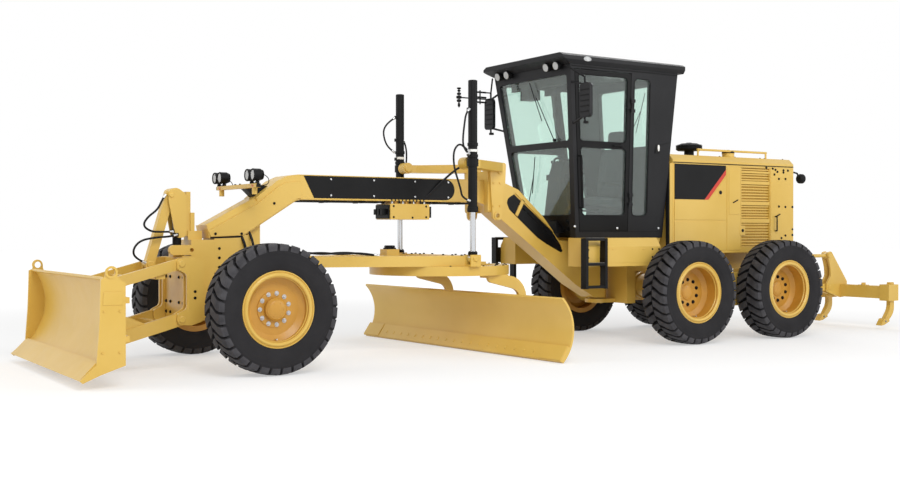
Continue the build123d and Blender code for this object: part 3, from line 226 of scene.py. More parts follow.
# name, place, width and power, in metres and watts
lightRows = [("keyLight", (5, 11, 9), 6, 900), ("fillLight", (12, -2, 6), 6, 260),
             ("backLight", (-8, -7, 8), 6, 300), ("sideLight", (-6, 10, 5), 5, 260)]
cameraLook = {"place": (10235.8, 10692.1, 1301.2), "yaw": -122.75, "pitch": -0.231, "lens": 46.056,
              "shiftY": -0.0046}


def at(x, y, z):
    return Vector(((x - originX) / 1000, y / 1000, z / 1000))


def addThing(name, data):
    thing = bpy.data.objects.new(name, data)
    bpy.context.scene.collection.objects.link(thing)
    return thing


def aimAlong(thing, way):
    thing.rotation_euler = way.to_track_quat("-Z", "Y").to_euler()


def backgroundRay(tree):
    rays = addNode(tree, "ShaderNodeLightPath").outputs
    seen = addNode(tree, "ShaderNodeMath", {0: rays["Is Camera Ray"], 1: rays["Is Glossy Ray"]},
                   operation="MAXIMUM")
    return addNode(tree, "ShaderNodeMath", {0: seen, 1: rays["Is Transmission Ray"]}, operation="MAXIMUM")


def makeFloor():
    size = studio["floorSize"]
    mesh = bpy.data.meshes.new("studioFloor")
    corners = [(-size, -size, 0), (size, -size, 0), (size, size, 0), (-size, size, 0)]
    mesh.from_pydata(corners, [], [(0, 1, 2, 3)])
    material, tree = newMaterial("studioFloor")
    # To the camera the floor is white and keeps the shadows. Its glow grows where the lamps fall off.
    plain = addNode(tree, "ShaderNodeBsdfDiffuse", {"Color": rgb(studio["floorColour"])})
    seenFloor = addNode(tree, "ShaderNodeBsdfDiffuse", {"Color": rgb(studio["floorSeen"])})
    place = addNode(tree, "ShaderNodeTexCoord").outputs["Object"]
    away = addNode(tree, "ShaderNodeVectorMath", {0: place}, operation="LENGTH").outputs["Value"]
    strength = addNode(tree, "ShaderNodeMapRange",
                       {"Value": away, "From Min": studio["glowFrom"], "From Max": studio["glowTo"],
                        "To Min": studio["glowNear"], "To Max": studio["glowFar"]},
                       interpolation_type="SMOOTHSTEP")
    glow = addNode(tree, "ShaderNodeEmission", {"Color": (1, 1, 1, 1), "Strength": strength})
    bright = addNode(tree, "ShaderNodeAddShader", {0: seenFloor, 1: glow})
    mix = addNode(tree, "ShaderNodeMixShader", {0: backgroundRay(tree), 1: plain, 2: bright})
    addNode(tree, "ShaderNodeOutputMaterial", {"Surface": mix})
    mesh.materials.append(material)
    addThing("studioFloor", mesh)


def makeLights():
    world = bpy.data.worlds.new("studio")
    world.use_nodes = True
    bpy.context.scene.world = world
    tree = world.node_tree
    tree.nodes.clear()
    soft = addNode(tree, "ShaderNodeBackground", {"Color": (1, 1, 1, 1), "Strength": studio["worldStrength"]})
    white = addNode(tree, "ShaderNodeBackground", {"Color": (1, 1, 1, 1), "Strength": 1.0})
    mix = addNode(tree, "ShaderNodeMixShader", {0: backgroundRay(tree), 1: soft, 2: white})
    addNode(tree, "ShaderNodeOutputWorld", {"Surface": mix})
    for name, place, width, power in lightRows:
        lamp = bpy.data.lights.new(name, "AREA")
        lamp.size = width
        lamp.energy = power
        thing = addThing(name, lamp)
        thing.location = place
        aimAlong(thing, Vector((0, 0, 1)) - Vector(place))
    bpy.context.scene.view_settings.view_transform = "Standard"


def makeCamera():
    camera = bpy.data.cameras.new("camera")
    camera.lens = cameraLook["lens"]
    camera.sensor_width = 36
    camera.shift_y = cameraLook["shiftY"]
    thing = addThing("camera", camera)
    thing.location = at(*cameraLook["place"])
    yaw, pitch = math.radians(cameraLook["yaw"]), math.radians(cameraLook["pitch"])
    aimAlong(thing, Vector((math.cos(yaw) * math.cos(pitch), math.sin(yaw) * math.cos(pitch),
                            math.sin(pitch))))
    bpy.context.scene.camera = thing


makeFloor()
makeLights()
makeCamera()
print("studio ready")


# Helpers for places. A frame has its origin at a point of the machine, its z outward and its y upward.
def facing(place, outward=(0, 1, 0), up=None):
    z = Vector(outward).normalized()
    x = Vector(up or ((0, 0, 1) if abs(z.z) < 0.9 else (1, 0, 0))).cross(z).normalized()
    turn = Matrix((x, z.cross(x), z)).transposed().to_4x4()
    return Matrix.Translation(at(*place)) @ turn @ Matrix.Scale(0.001, 4)


def shifted(place, x, y, z=0.0):
    return place @ Matrix.Translation((x, y, z))


def sideways(hand, x, y, z):
    return facing((x, hand * y, z), (0, hand, 0))


def upright(x, y, z):
    return facing((x, y, z), (0, 0, 1))


def span(hand, low, high):
    return sorted((hand * low, hand * high))


def around(count, radius, start=0.0):
    angles = [2 * math.pi * (k + start) / count for k in range(count)]
    return [(radius * math.cos(angle), radius * math.sin(angle)) for angle in angles]


# Helpers for shapes
def addLoft(shape, rings):
    count = len(rings[0])
    walls = []
    for one, two in zip(rings, rings[1:]):
        for k in range(count):
            j = (k + 1) % count
            walls.append(shape.faces.new((one[k], one[j], two[j], two[k])))
    shape.faces.new(rings[0])
    shape.faces.new(rings[-1])
    return walls


def addPrism(shape, corners, along, low, high):
    order = {"x": (2, 0, 1), "y": (0, 2, 1), "z": (0, 1, 2)}[along]
    rings = []
    for level in (low, high):
        rows = [(a, b, level) for a, b in corners]
        rings.append([shape.verts.new(at(*[row[k] for k in order])) for row in rows])
    addLoft(shape, rings)


def addBox(shape, x0, x1, y0, y1, z0, z1):
    addPrism(shape, [(x0, y0), (x1, y0), (x1, y1), (x0, y1)], "z", z0, z1)


def addBar(shape, place, corners, low, high):
    addLoft(shape, [[shape.verts.new(place @ Vector((a, b, level))) for a, b in corners]
                    for level in (low, high)])


def addTurned(shape, rows, place, count=32, closed=False):
    # Rows of radius and height, where a radius of 0 is a point on the axis
    rings = []
    for radius, height in rows:
        spots = around(count, radius) if radius else [(0, 0)]
        rings.append([shape.verts.new(place @ Vector((a, b, height))) for a, b in spots])
    pairs = list(zip(rings, rings[1:])) + ([(rings[-1], rings[0])] if closed else [])
    for one, two in pairs:
        for k in range(count):
            j = (k + 1) % count
            if len(one) == 1:
                shape.faces.new((one[0], two[j], two[k]))
            elif len(two) == 1:
                shape.faces.new((one[k], one[j], two[0]))
            else:
                shape.faces.new((one[k], one[j], two[j], two[k]))


def addCap(shape, place, radius, height, foot=0, chamfer=(6, 4), count=28):
    inward, rise = chamfer
    rows = [(0, foot), (radius, foot), (radius, height), (radius - inward, height + rise), (0, height + rise)]
    addTurned(shape, rows, place, count)


def addPlug(shape, place, radius, low, high, count=6):
    addTurned(shape, [(0, low), (radius, low), (radius, high), (0, high)], place, count)


def addRing(shape, place, inner, outer, low, high, count=36):
    addTurned(shape, [(inner, low), (outer, low), (outer, high), (inner, high)], place, count, True)


def addRod(shape, start, end, radius, count=16):
    run = at(*end) - at(*start)
    length = run.length * 1000
    rows = [(0, 0), (radius * 0.8, 0), (radius, radius * 0.2), (radius, length - radius * 0.2),
            (radius * 0.8, length), (0, length)]
    addTurned(shape, rows, facing(start, run), count)


def addBolt(shape, place, size):
    addTurned(shape, [(0, -1), (size * 1.25, -1), (size * 1.25, size * 0.22), (0, size * 0.22)], place, 16)
    addTurned(shape, [(0, 0), (size, size * 0.2), (size, size * 0.85), (size * 0.82, size), (0, size)],
              place, 6)


def finishPiece(name, shape, finish, body, bevel=0.0, sharp=32.0):
    bmesh.ops.recalc_face_normals(shape, faces=shape.faces)
    for face in shape.faces:
        face.smooth = True
    mesh = bpy.data.meshes.new(name)
    shape.to_mesh(mesh)
    shape.free()
    mesh.set_sharp_from_angle(angle=math.radians(sharp))
    mesh.materials.append(materials[finish])
    thing = addThing(name, mesh)
    if bevel:
        tool = thing.modifiers.new("edges", "BEVEL")
        tool.width = bevel / 1000
        tool.segments = 2
        tool.limit_method = "ANGLE"
    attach(thing, body)
    return thing


def makePiece(name, finish, body, forms, bevel=0.0):
    # Each form is a helper for shapes with its values
    shape = bmesh.new()
    for add, *values in forms:
        add(shape, *values)
    return finishPiece(name, shape, finish, body, bevel)


def makeBolts(name, places, size, finish, body, outward=(0, 1, 0)):
    makePiece(name, finish, body, [(addBolt, facing(place, outward), size) for place in places])


# Hoses and cables. Each ends in the machine again, in a pressed ferrule where the row says so.
def mirrored(points):
    return [(x, -y, z) for x, y, z in points]


lampCable = [(5800, 488, 1840), (5775, 486, 1838), (5722, 470, 1800), (5716, 440, 1750), (5760, 400, 1735),
             (5832, 380, 1733)]
ripperHose = [(-2655, 152, 960), (-2700, 130, 932), (-2762, 96, 850), (-2790, 78, 740), (-2795, 70, 640),
              (-2840, 70, 580)]
# name, body, diameter in mm, real length in m, stiffness, ferrules, points
hoseRows = [
    ("headHoseUpper", "dozer_lift_head", 20, 0.682, "stiff", True,
     [(6604, 60, 1640), (6640, 75, 1590), (6690, 100, 1500), (6790, 110, 1430), (6838, 110, 1350),
      (6760, 110, 1292), (6640, 105, 1290), (6540, 78, 1292)]),
    ("headHoseLower", "dozer_lift_head", 20, 0.6585, "stiff", True,
     [(6500, 74, 1262), (6560, 96, 1246), (6700, 108, 1240), (6860, 100, 1212), (6925, 80, 1120),
      (6890, 62, 1040), (6790, 46, 1000)]),
    ("barrelHoseLeft", "lift_barrel_left", 20, 0.53, "stiff", True,
     [(3612, 762, 2560), (3660, 775, 2520), (3690, 790, 2400), (3712, 795, 2260), (3708, 795, 2170),
      (3650, 785, 2105), (3622, 772, 2096)]),
    ("loopHoseLeft", "lift_barrel_left", 20, 0.844, "stiff", True,
     [(3620, 772, 2120), (3680, 785, 2160), (3760, 798, 2200), (3832, 800, 2120), (3826, 800, 1960),
      (3780, 795, 1840), (3735, 790, 1730), (3712, 780, 1640), (3612, 768, 1612)]),
    ("barrelHoseRight", "lift_barrel_right", 20, 0.512, "stiff", True,
     [(3610, -762, 2600), (3680, -775, 2560), (3760, -790, 2460), (3740, -795, 2340), (3690, -790, 2250),
      (3618, -775, 2200)]),
    ("loopHoseRight", "lift_barrel_right", 20, 0.419, "stiff", True,
     [(3515, -770, 2340), (3480, -780, 2325), (3452, -785, 2230), (3448, -790, 2120), (3462, -790, 2010),
      (3508, -772, 1960)]),
    ("axleHoseFront", "front_frame", 26, 0.266, "stiff", False,
     [(5870, 140, 1250), (5862, 165, 1215), (5846, 175, 1160), (5826, 172, 1080), (5815, 150, 1000)]),
    ("axleHoseRear", "front_frame", 26, 0.322, "stiff", False,
     [(5790, 140, 1290), (5780, 168, 1245), (5765, 178, 1180), (5748, 176, 1090), (5762, 90, 1010)]),
    ("beamHose", "front_frame", 24, 0.902, "stiff", False,
     [(3014, 215, 1985), (3080, 232, 2040), (3200, 225, 2050), (3340, 205, 2010), (3470, 185, 1920),
      (3600, 174, 1810), (3715, 160, 1705), (3760, 146, 1655)]),
    ("lampCableFront", "front_frame", 8, 0.2745, "medium", False, lampCable),
    ("lampCableRear", "front_frame", 8, 0.2745, "medium", False, mirrored(lampCable)),
    ("drawbarHoseOuter", "drawbar", 22, 1.108, "stiff", True,
     [(5540, 66, 1046), (5440, 96, 1075), (5250, 150, 1062), (5050, 205, 1082), (4850, 262, 1060),
      (4650, 318, 1078), (4480, 372, 1046)]),
    ("drawbarHoseInner", "drawbar", 22, 1.1255, "stiff", True,
     [(5520, 30, 1046), (5400, 60, 1068), (5200, 110, 1084), (5000, 168, 1060), (4800, 225, 1082),
      (4600, 280, 1062), (4440, 330, 1046)]),
    ("ripperHoseLeft", "ripper_frame", 26, 0.449, "stiff", True, ripperHose),
    ("ripperHoseRight", "ripper_frame", 26, 0.449, "stiff", True, mirrored(ripperHose)),
]


def makeHoses():
    ferrules = {}
    for name, body, diameter, length, stiffness, pressed, points in hoseRows:
        curve = bpy.data.curves.new(name, "CURVE")
        curve.dimensions = "3D"
        curve.bevel_depth = 1.0
        curve.bevel_resolution = 4
        curve.resolution_u = 10
        curve.use_fill_caps = True
        route = curve.splines.new("NURBS")
        route.points.add(len(points) - 1)
        for control, place in zip(route.points, points):
            control.co = (*at(*place), 1)
            control.radius = diameter / 2000
        route.order_u = 3
        route.use_endpoint_u = True
        curve.materials.append(materials["hoseRubber"])
        thing = addThing(name, curve)
        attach(thing, body)
        if pressed:
            shape = ferrules.setdefault(body, bmesh.new())
            wide = diameter * 0.68
            rows = [(0, -4), (wide * 1.15, -4), (wide * 1.15, 8), (wide, 9), (wide, 34), (wide * 0.9, 38),
                    (0, 38)]
            for start, toward in ((points[0], points[1]), (points[-1], points[-2])):
                addTurned(shape, rows, facing(start, at(*toward) - at(*start)), 16)
    for body, shape in ferrules.items():
        finishPiece("ferrules_" + body, shape, "zincPlate", body)


makeHoses()
print("hoses ready")


# Tyres with two staggered rows of curved lugs
tyre = {"lugs": 32, "tread": 560, "top": 594.4, "lugWidth": 86, "skew": 78, "middle": 5, "edge": 172}
# Radius and offset of the carcass, from the bead to the middle of the tread
carcassRows = [(346, 146), (358, 157), (372, 164), (380, 168), (386, 168), (392, 172), (420, 177), (452, 179),
               (480, 178.5), (500, 176.5), (506, 178.5), (512, 177.5), (532, 171), (548, 160), (557, 146),
               (560, 120), (562, 60), (562.5, 0)]
# name of wheel, x and side
wheelRows = [("rear_left_leading", 755, 1), ("rear_left_trailing", -755, 1), ("rear_right_leading", 755, -1),
             ("rear_right_trailing", -755, -1), ("front_left", 5950, 1), ("front_right", 5950, -1)]
wheelMiddle = {"y": 1050, "z": 595}


def wheelPlace(x, side, out=0):
    # Local z runs along the axle to the outside, local y up
    return facing((x, side * (wheelMiddle["y"] + out), wheelMiddle["z"]), (0, side, 0))


def lugTop(offset):
    # The tread's crown falls off towards the shoulder
    return tyre["top"] - 2.5 * (offset / 100) ** 2 - max(0.0, offset - 150) * 0.5


def addLug(shape, place, angle, hand, side):
    stations = []
    for k in range(6):
        share = k / 5
        offset = tyre["middle"] + share * (tyre["edge"] - tyre["middle"])
        bend = 0.5 - 0.5 * math.cos(math.pi * share)
        middle = (0.45 * share + 0.55 * bend - 0.5) * tyre["skew"]
        half = tyre["lugWidth"] / 2 * (0.84 + 0.2 * share)
        stations.append((offset, middle, half, lugTop(offset), tyre["tread"] - 6, 0))
    # The lug runs down over the shoulder, with its foot inside the tyre's wall
    for offset, drop in ((177.5, 26), (179, 48)):
        half = tyre["lugWidth"] / 2 * (1.04 - drop * 0.003)
        stations.append((offset, tyre["skew"] / 2 + drop * 0.08, half, lugTop(tyre["edge"]) - drop, 470, 14))
    rings = []
    for offset, middle, half, top, foot, inward in stations:
        ring = []
        for edge, radius, grow, sunk in ((-1, foot, 5, inward), (-1, top, 0, 0), (1, top, 0, 0),
                                         (1, foot, 5, inward)):
            turn = angle + math.atan2(-side * middle + edge * (half + grow), radius)
            spot = Vector((radius * math.sin(turn), radius * math.cos(turn), hand * (offset - sunk)))
            ring.append(shape.verts.new(place @ spot))
        rings.append(ring)
    # The top of the lug takes a lighter grey than its sides, a painted sheen
    for face in addLoft(shape, rings)[1::4]:
        face.material_index = 1


def makeTyres():
    for name, x, side in wheelRows:
        place = wheelPlace(x, side)
        shape = bmesh.new()
        inner = [(radius, -offset) for radius, offset in reversed(carcassRows[:-1])]
        addTurned(shape, carcassRows + inner, place, 108, closed=True)
        # The tread's floor between the lugs takes the near-black groove rubber, painted shade in the grooves
        for face in shape.faces:
            if (face.calc_center_median() - place.translation).xz.length > 0.546:
                face.material_index = 2
        pitch = 2 * math.pi / tyre["lugs"]
        for k in range(tyre["lugs"]):
            # The rows are half a pitch apart, and the lugs of both sides of the machine lean the same way
            addLug(shape, place, -side * (k + 0.25) * pitch, 1, side)
            addLug(shape, place, -side * (k - 0.25) * pitch, -1, side)
        thing = finishPiece("tread_" + name, shape, "tyreRubber", "wheel_" + name, bevel=3.0, sharp=40)
        thing.modifiers["edges"].angle_limit = math.radians(45)
        for finish in ("lugRubber", "grooveRubber"):
            thing.data.materials.append(materials[finish])
        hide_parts("tyre_" + name)


# Wheel nuts, lock rings, valve and hub caps
# The rear nuts are real parts, and their black is painted shade of the dark bolt holes in the deep rear discs
wheelKinds = {"front": {"disc": 54, "cap": 110, "nuts": 11, "finish": "zincPlate"},
              "rear": {"disc": -36, "cap": -26, "nuts": 10, "finish": "blackPaint"}}
wheelTrim = {"nutCircle": 143, "nutSize": 17,
             "capRows": [(0, -2), (78, -2), (78, 3), (70, 7), (30, 8.5), (0, 9)],
             "stemRows": [(0, 0), (5, 0), (5, 50), (7, 52), (7, 66), (0, 68)]}
# Lock ring beside the outer flange, its groove and a bead on the barrel, in the body yellow that is lighter
# than the rims' gold, a painted highlight
lockRings = [[(296, 151), (304, 160), (318, 163), (330, 157), (334, 150.5)],
             [(338, 150.2), (341, 155), (347, 155), (350, 150.2)],
             [(290, 110), (287, 116), (287, 124), (293, 130), (296, 118)]]


def makeWheelTrim():
    for name, x, side in wheelRows:
        kind = wheelKinds[name.split("_")[0]]
        body = "wheel_" + name
        disc, rim, cap = [wheelPlace(x, side, out) for out in (kind["disc"], 0, kind["cap"])]
        spots = [shifted(disc, *spot) for spot in around(kind["nuts"], wheelTrim["nutCircle"], 0.5)]
        nuts = [(addBolt, spot, wheelTrim["nutSize"]) for spot in spots]
        studs = [(addCap, spot, 8, 22, 0, (2, 2), 12) for spot in spots]
        makePiece("nuts_" + name, kind["finish"], body, nuts + studs)
        makePiece("lockRingPaintedHighlight_" + name, "yellowPaint", body,
                  [(addTurned, rows, rim, 72, True) for rows in lockRings])
        screws = [(addPlug, shifted(cap, *spot, 4), 6, 0, 6) for spot in around(6, 62)]
        makePiece("hubCap_" + name, "rimPaint", body, [(addTurned, wheelTrim["capRows"], cap, 40)] + screws)
        makePiece("valve_" + name, "zincPlate", body,
                  [(addTurned, wheelTrim["stemRows"], shifted(rim, 0, -272, 40), 10)])


makeTyres()
makeWheelTrim()
print("wheels ready")


# Hood: side panels, service column, grille backing, corner plates, caps and lamps
hood = {"side": 620, "top": 2215, "grillePitch": 42}
# Corners of the black panel, of the red stripe that ends it and of the door below both
panelCorners = [(584, 1678), (584, 2100), (-274, 2100), (-274, 2052), (92, 1678)]
stripeCorners = [(92, 1678), (-274, 2052), (-274, 1986), (26, 1678)]
lowDoorCorners = [(-272, 1432), (584, 1432), (584, 1668), (16, 1668), (-272, 1960)]
# x0, x1, z0, z1 of each raised door or plate on the side, and of the frame round the grille
sidePlates = [(-272, 584, 1062, 1410), (-530, -292, 1062, 2088), (-1486, -1072, 1062, 2088),
              (-543, -533, 1100, 2095), (-1060, -1050, 1100, 2095), (-1060, -533, 2086, 2096),
              (-1060, -533, 1100, 1108)]
cornerBolts = [(-987, 2096), (-1104, 2088), (-1152, 2074), (-1301, 2072), (-1385, 2070), (-1134, 2015),
               (-1189, 2050), (-1301, 2044), (-1217, 1960), (-1339, 1963), (-1218, 1610), (-1339, 1605),
               (-1470, 1606), (-1340, 1240), (-1470, 1246), (-1265, 1208)]
locks = [(-174, 1769, 24), (-560, 1304, 20), (-1470, 1320, 12)]
pulls = [((-392, 1648), (-474, 1682)), ((-1160, 1480), (-1236, 1512))]


def makeHoodSide(hand, end):
    y0 = hood["side"]
    body = "rear_frame"

    def wall(low, high):
        return span(hand, y0 + low, y0 + high)

    def point(x, z, out):
        return (x, hand * (y0 + out), z)

    def spot(x, z, out=0):
        return facing(point(x, z, out), (0, hand, 0))

    makePiece("hoodPanel" + end, "blackPaint", body, [(addPrism, panelCorners, "y", *wall(0.2, 4))], 1)
    makePiece("hoodStripe" + end, "redPaint", body, [(addPrism, stripeCorners, "y", *wall(0.2, 4.4))], 1)
    plates = [(addBox, x0, x1, *wall(0.2, 5), z0, z1) for x0, x1, z0, z1 in sidePlates]
    makePiece("hoodDoors" + end, "yellowPaint", body,
              [(addPrism, lowDoorCorners, "y", *wall(0.2, 5)),
               (addBox, -500, -322, *wall(5, 9), 1500, 2050)] + plates,
              2.5)
    # Perforated sheet behind the slats, in a darker gold as painted shade of its recess
    pitch = hood["grillePitch"]
    dimples = [(addTurned, [(0, 0), (13, 0), (11, 2.4), (0, 2.4)],
                spot(-1049 + pitch * (column + 0.5), 1114 + pitch * (row + 0.5), -26), 8)
               for column in range(12) for row in range(23)]
    makePiece("grilleSheet" + end, "grillePaint", body,
              [(addBox, -1049, -544, *wall(-29, -26), 1108, 2086)] + dimples)
    makePiece("latchPlates" + end, "yellowPaint", body,
              [(addBox, -208, -140, *wall(4, 9), 1725, 1813),
               (addBox, -606, -514, *wall(4, 9), 1244, 1364)], 3)
    # Locks, pulls and the grab handle on the corner plate
    forms = [(addTurned, [(0, 6), (radius, 6), (radius, 13), (radius * 0.7, 16), (0, 16)], spot(x, z), 24)
             for x, z, radius in locks]
    for start, stop in pulls:
        forms.append((addRod, point(*start, 12), point(*stop, 12), 7, 10))
        forms += [(addRod, point(x, z, 3), point(x, z, 14), 6, 10) for x, z in (start, stop)]
    forms += [(addRod, point(-1150, z, 3), point(-1150, z, 40), 8, 10) for z in (1300, 1480)]
    forms.append((addRod, point(-1150, 1294, 38), point(-1150, 1486, 38), 8, 10))
    makePiece("handles" + end, "blackPlastic", body, forms)
    makeBolts("cornerBolts" + end, [point(x, z, 5) for x, z in cornerBolts], 12, "blackPaint", body,
              (0, hand, 0))
    # Gutter under the hood's eave and a rubber strip against the cab
    makePiece("sealStrips" + end, "blackPlastic", body,
              [(addBox, -1490, 606, *wall(0.2, 7), 2112, 2122),
               (addBox, 652, 664, *wall(-64, -14), 1040, 2100)], 1.5)
    # Tail lamp on its bent arm
    lamp = facing(point(-1625, 1972, 4), (-1, 0, 0))
    makePiece("tailLampHousing" + end, "blackPlastic", body,
              [(addRod, point(-1480, 2060, -20), point(-1560, 2040, 4), 11, 12),
               (addRod, point(-1560, 2044, 4), point(-1590, 1986, 4), 11, 12),
               (addTurned, [(0, -40), (40, -40), (62, -14), (62, 30), (56, 34), (0, 34)], lamp, 28)], 2)
    makePiece("tailLampLens" + end, "redGlass", body,
              [(addTurned, [(0, 33), (54, 33), (52, 40), (30, 45), (0, 46)], lamp, 28)])


def makeHoodTop():
    z = hood["top"]
    body = "rear_frame"
    lids = ((-1470, -1070), (-1050, -540), (-330, 590))
    makePiece("hoodLids", "yellowPaint", body,
              [(addBox, *lid, -520, 520, z + 0.2, z + 4) for lid in lids], 2.5)
    # Filler neck with its cap
    neck = upright(-470, 470, z - 20)
    makePiece("fillerNeck", "yellowPaint", body,
              [(addTurned, [(0, -4), (92, -4), (88, 20), (76, 26), (76, 66), (80, 70), (0, 70)], neck, 36)],
              1.5)
    makePiece("fillerCap", "blackPlastic", body,
              [(addTurned, [(0, 68), (74, 68), (78, 74), (78, 92), (60, 100), (0, 101)], neck, 20),
               (addCap, neck, 24, 112, 100, (6, 4), 20)], 1.5)
    # Ribs round the precleaner and the knob on its top
    bowl = upright(-65, 200, z + 90)
    ribs = [(addTurned, [(161, 6 + k * 7), (163, 8 + k * 7), (161, 10 + k * 7)], bowl, 48) for k in range(9)]
    makePiece("precleanerRibs", "blackPlastic", body,
              ribs + [(addTurned, [(0, 84), (40, 84), (40, 92), (30, 96), (0, 97)], bowl, 28)])
    places = [(x, y, z + 4) for x in (-1440, -1100, -1020, -570, -300, 560) for y in (-490, 490)]
    makeBolts("hoodTopBolts", places, 9, "blackPaint", body, (0, 0, 1))
    # Rear door: hinges, handle and bars over the cooling openings
    forms = [(addBox, -1512, -1494, 500, 540, 1560, 1700)]
    for height in (1300, 1900):
        forms.append((addRod, (-1502, -560, height - 60), (-1502, -560, height + 60), 12, 12))
        forms.append((addBox, -1500, -1494, -600, -520, height - 50, height + 50))
    makePiece("rearDoorHinges", "yellowPaint", body, forms, 1.5)
    makePiece("rearDoorBars", "yellowPaint", body,
              [(addBox, -1499, -1494, y - 4, y + 4, 1150, 2050) for y in range(-360, 361, 120)], 1)


for hand, end in sides:
    makeHoodSide(hand, end)
makeHoodTop()
print("hood ready")


# Cab: seals, wipers, roof lamps, handles, mirrors' glass, latch and trim
cab = {"floor": 1220, "eave": 3150, "halfLow": 520, "halfHigh": 730, "frontLow": 2005, "frontHigh": 2250,
       "rearLow": 690, "rearHigh": 640}


def cabAt(name, z):
    share = (z - cab["floor"]) / (cab["eave"] - cab["floor"])
    return cab[name + "Low"] + (cab[name + "High"] - cab[name + "Low"]) * share


def onCab(hand, x, z, out=0.0):
    return (x, hand * (cabAt("half", z) + out), z)


def addSkewStrip(shape, points, hand, out, thick, wide):
    # Flat strip that follows the leaning side of the cab between (x, z) points
    places = [onCab(hand, x, z, out) for x, z in points]
    corners = [(-wide / 2, -thick), (wide / 2, -thick), (wide / 2, thick), (-wide / 2, thick)]
    for start, stop in zip(places, places[1:]):
        run = at(*stop) - at(*start)
        addBar(shape, facing(start, run, (0, hand, 0)), corners, -wide * 0.3, run.length * 1000 + wide * 0.3)


def doorRear(z):
    return 1254 + 0.0645 * (z - 1480)


def doorFront(z):
    return cabAt("front", z) - 62


def doorBead(low, high):
    # Line round a pane of the door, its corners cut
    rear = [(doorRear(z) + 44, z) for z in (low + 34, high - 34)]
    front = [(doorFront(z) - 44, z) for z in (high - 34, low + 34)]
    return (rear + [(doorRear(high) + 78, high), (doorFront(high) - 78, high)] + front
            + [(doorFront(low) - 78, low), (doorRear(low) + 78, low), rear[0]])


def makeDoorTrim(hand, end):
    door = "door_" + end.lower()
    makePiece("doorBeads" + end, "blackPlastic", door,
              [(addSkewStrip, doorBead(*pane), hand, 1.5, 2.0, 9) for pane in ((1470, 2248), (2304, 3050))],
              1)
    # Lever with its lock, and the grab bar
    z = 2276
    x = doorRear(z) + 120
    tip = (x + 130, onCab(hand, x, z, 22)[1], z - 6)
    makePiece("doorLever" + end, "blackPlastic", door,
              [(addCap, facing(onCab(hand, x, z), (0, hand, 0)), 26, 9, -2, (6, 4), 24),
               (addRod, onCab(hand, x, z, 20), tip, 10, 12),
               (addRod, onCab(hand, x, z, 4), onCab(hand, x, z, 22), 9, 12)], 1)
    ends = [(doorFront(height) - 24, height) for height in (1560, 2140)]
    feet = [(addRod, onCab(hand, *spot, -2), onCab(hand, *spot, 44), 9, 12) for spot in ends]
    makePiece("doorGrab" + end, "blackPlastic", door,
              [(addRod, onCab(hand, *ends[0], 42), onCab(hand, *ends[1], 42), 10, 12)] + feet)


def makeCabSide(hand, end):
    body = "rear_frame"
    makeDoorTrim(hand, end)
    # Drip rail, split line of the rear quarter, sill line and the bead of the rear pane
    low, high = 1474, 3046
    pane = [(doorRear(low) - 260, low), (doorRear(low) - 295, low + 36), (doorRear(high) - 300, high - 36),
            (doorRear(high) - 264, high), (doorRear(high) - 92, high), (doorRear(high) - 56, high - 36),
            (doorRear(low) - 56, low + 36), (doorRear(low) - 92, low), (doorRear(low) - 260, low)]
    drip = [(cabAt("rear", 3128) + 10, 3128), (cabAt("front", 3128) - 20, 3128)]
    split = [(cabAt("rear", 2310) + 8, 2345), (cabAt("rear", 2310) + 230, 2295)]
    sill = [(cabAt("rear", 1290) + 20, 1292), (cabAt("front", 1290) - 60, 1292)]
    makePiece("cabTrim" + end, "blackPlastic", body,
              [(addSkewStrip, drip, hand, 3, 5, 10), (addSkewStrip, split, hand, 1.2, 1.6, 8),
               (addSkewStrip, sill, hand, 1.2, 1.8, 8), (addSkewStrip, pane, hand, 1.5, 2.0, 9)], 1)
    # Latch of the rear quarter
    place = facing(onCab(hand, 872, 2272), (0, hand, 0))
    makePiece("quarterLatchPlate" + end, "blackPlastic", body,
              [(addBar, place, [(-34, -62), (34, -62), (34, 62), (-34, 62)], -3, 5)], 2)
    oval = shifted(place, 14, 0) @ Matrix.Diagonal((1, 2.6, 1, 1))
    makePiece("quarterLatch" + end, "whiteEnamel", body, [(addCap, oval, 15, 10, 4, (4, 2), 20)])
    # Plugs in the lower corner posts
    makePiece("cabPlugs" + end, "zincPlate", body,
              [(addCap, facing(onCab(hand, x, z), (0, hand, 0)), 14, 5, -2, (4, 3), 16)
               for x, z in ((1400, 1330), (2030, 1350), (760, 1330))])
    # Oval lamp under the edge of the roof
    oval = sideways(hand, 2040, 768, 3206) @ Matrix.Diagonal((2.1, 1, 1, 1))
    makePiece("roofMarker" + end, "lampGlass", body,
              [(addTurned, [(0, -6), (26, -6), (26, 4), (20, 9), (0, 10)], oval, 28)])
    # Mirror glass, ribs on its back and the rods that brace it
    makePiece("mirrorGlass" + end, "chrome", body,
              [(addBox, 2161, 2164.6, *span(hand, 842, 998), 2556, 2900)], 1)
    ribs = [(addBox, 2205.2, 2213, *span(hand, 850, 990), z, z + 8) for z in range(2600, 2841, 60)]
    makePiece("mirrorBraces" + end, "blackPlastic", body, ribs + [
        (addRod, (2185, hand * 900, 2480), (2185, hand * 900, 2990), 11, 12),
        (addRod, (2185, hand * 900, 2984), (2300, hand * 700, 3130), 10, 12),
        (addPlug, upright(2172, hand * 905, 2475), 30, 0, 26, 16)], 1)


# Height, radius and length of the beads on the far mirror's post
postBeads = [(2795, 16, 40), (2850, 28, 30), (2890, 34, 34), (2935, 26, 26), (2975, 20, 20), (3005, 26, 18)]


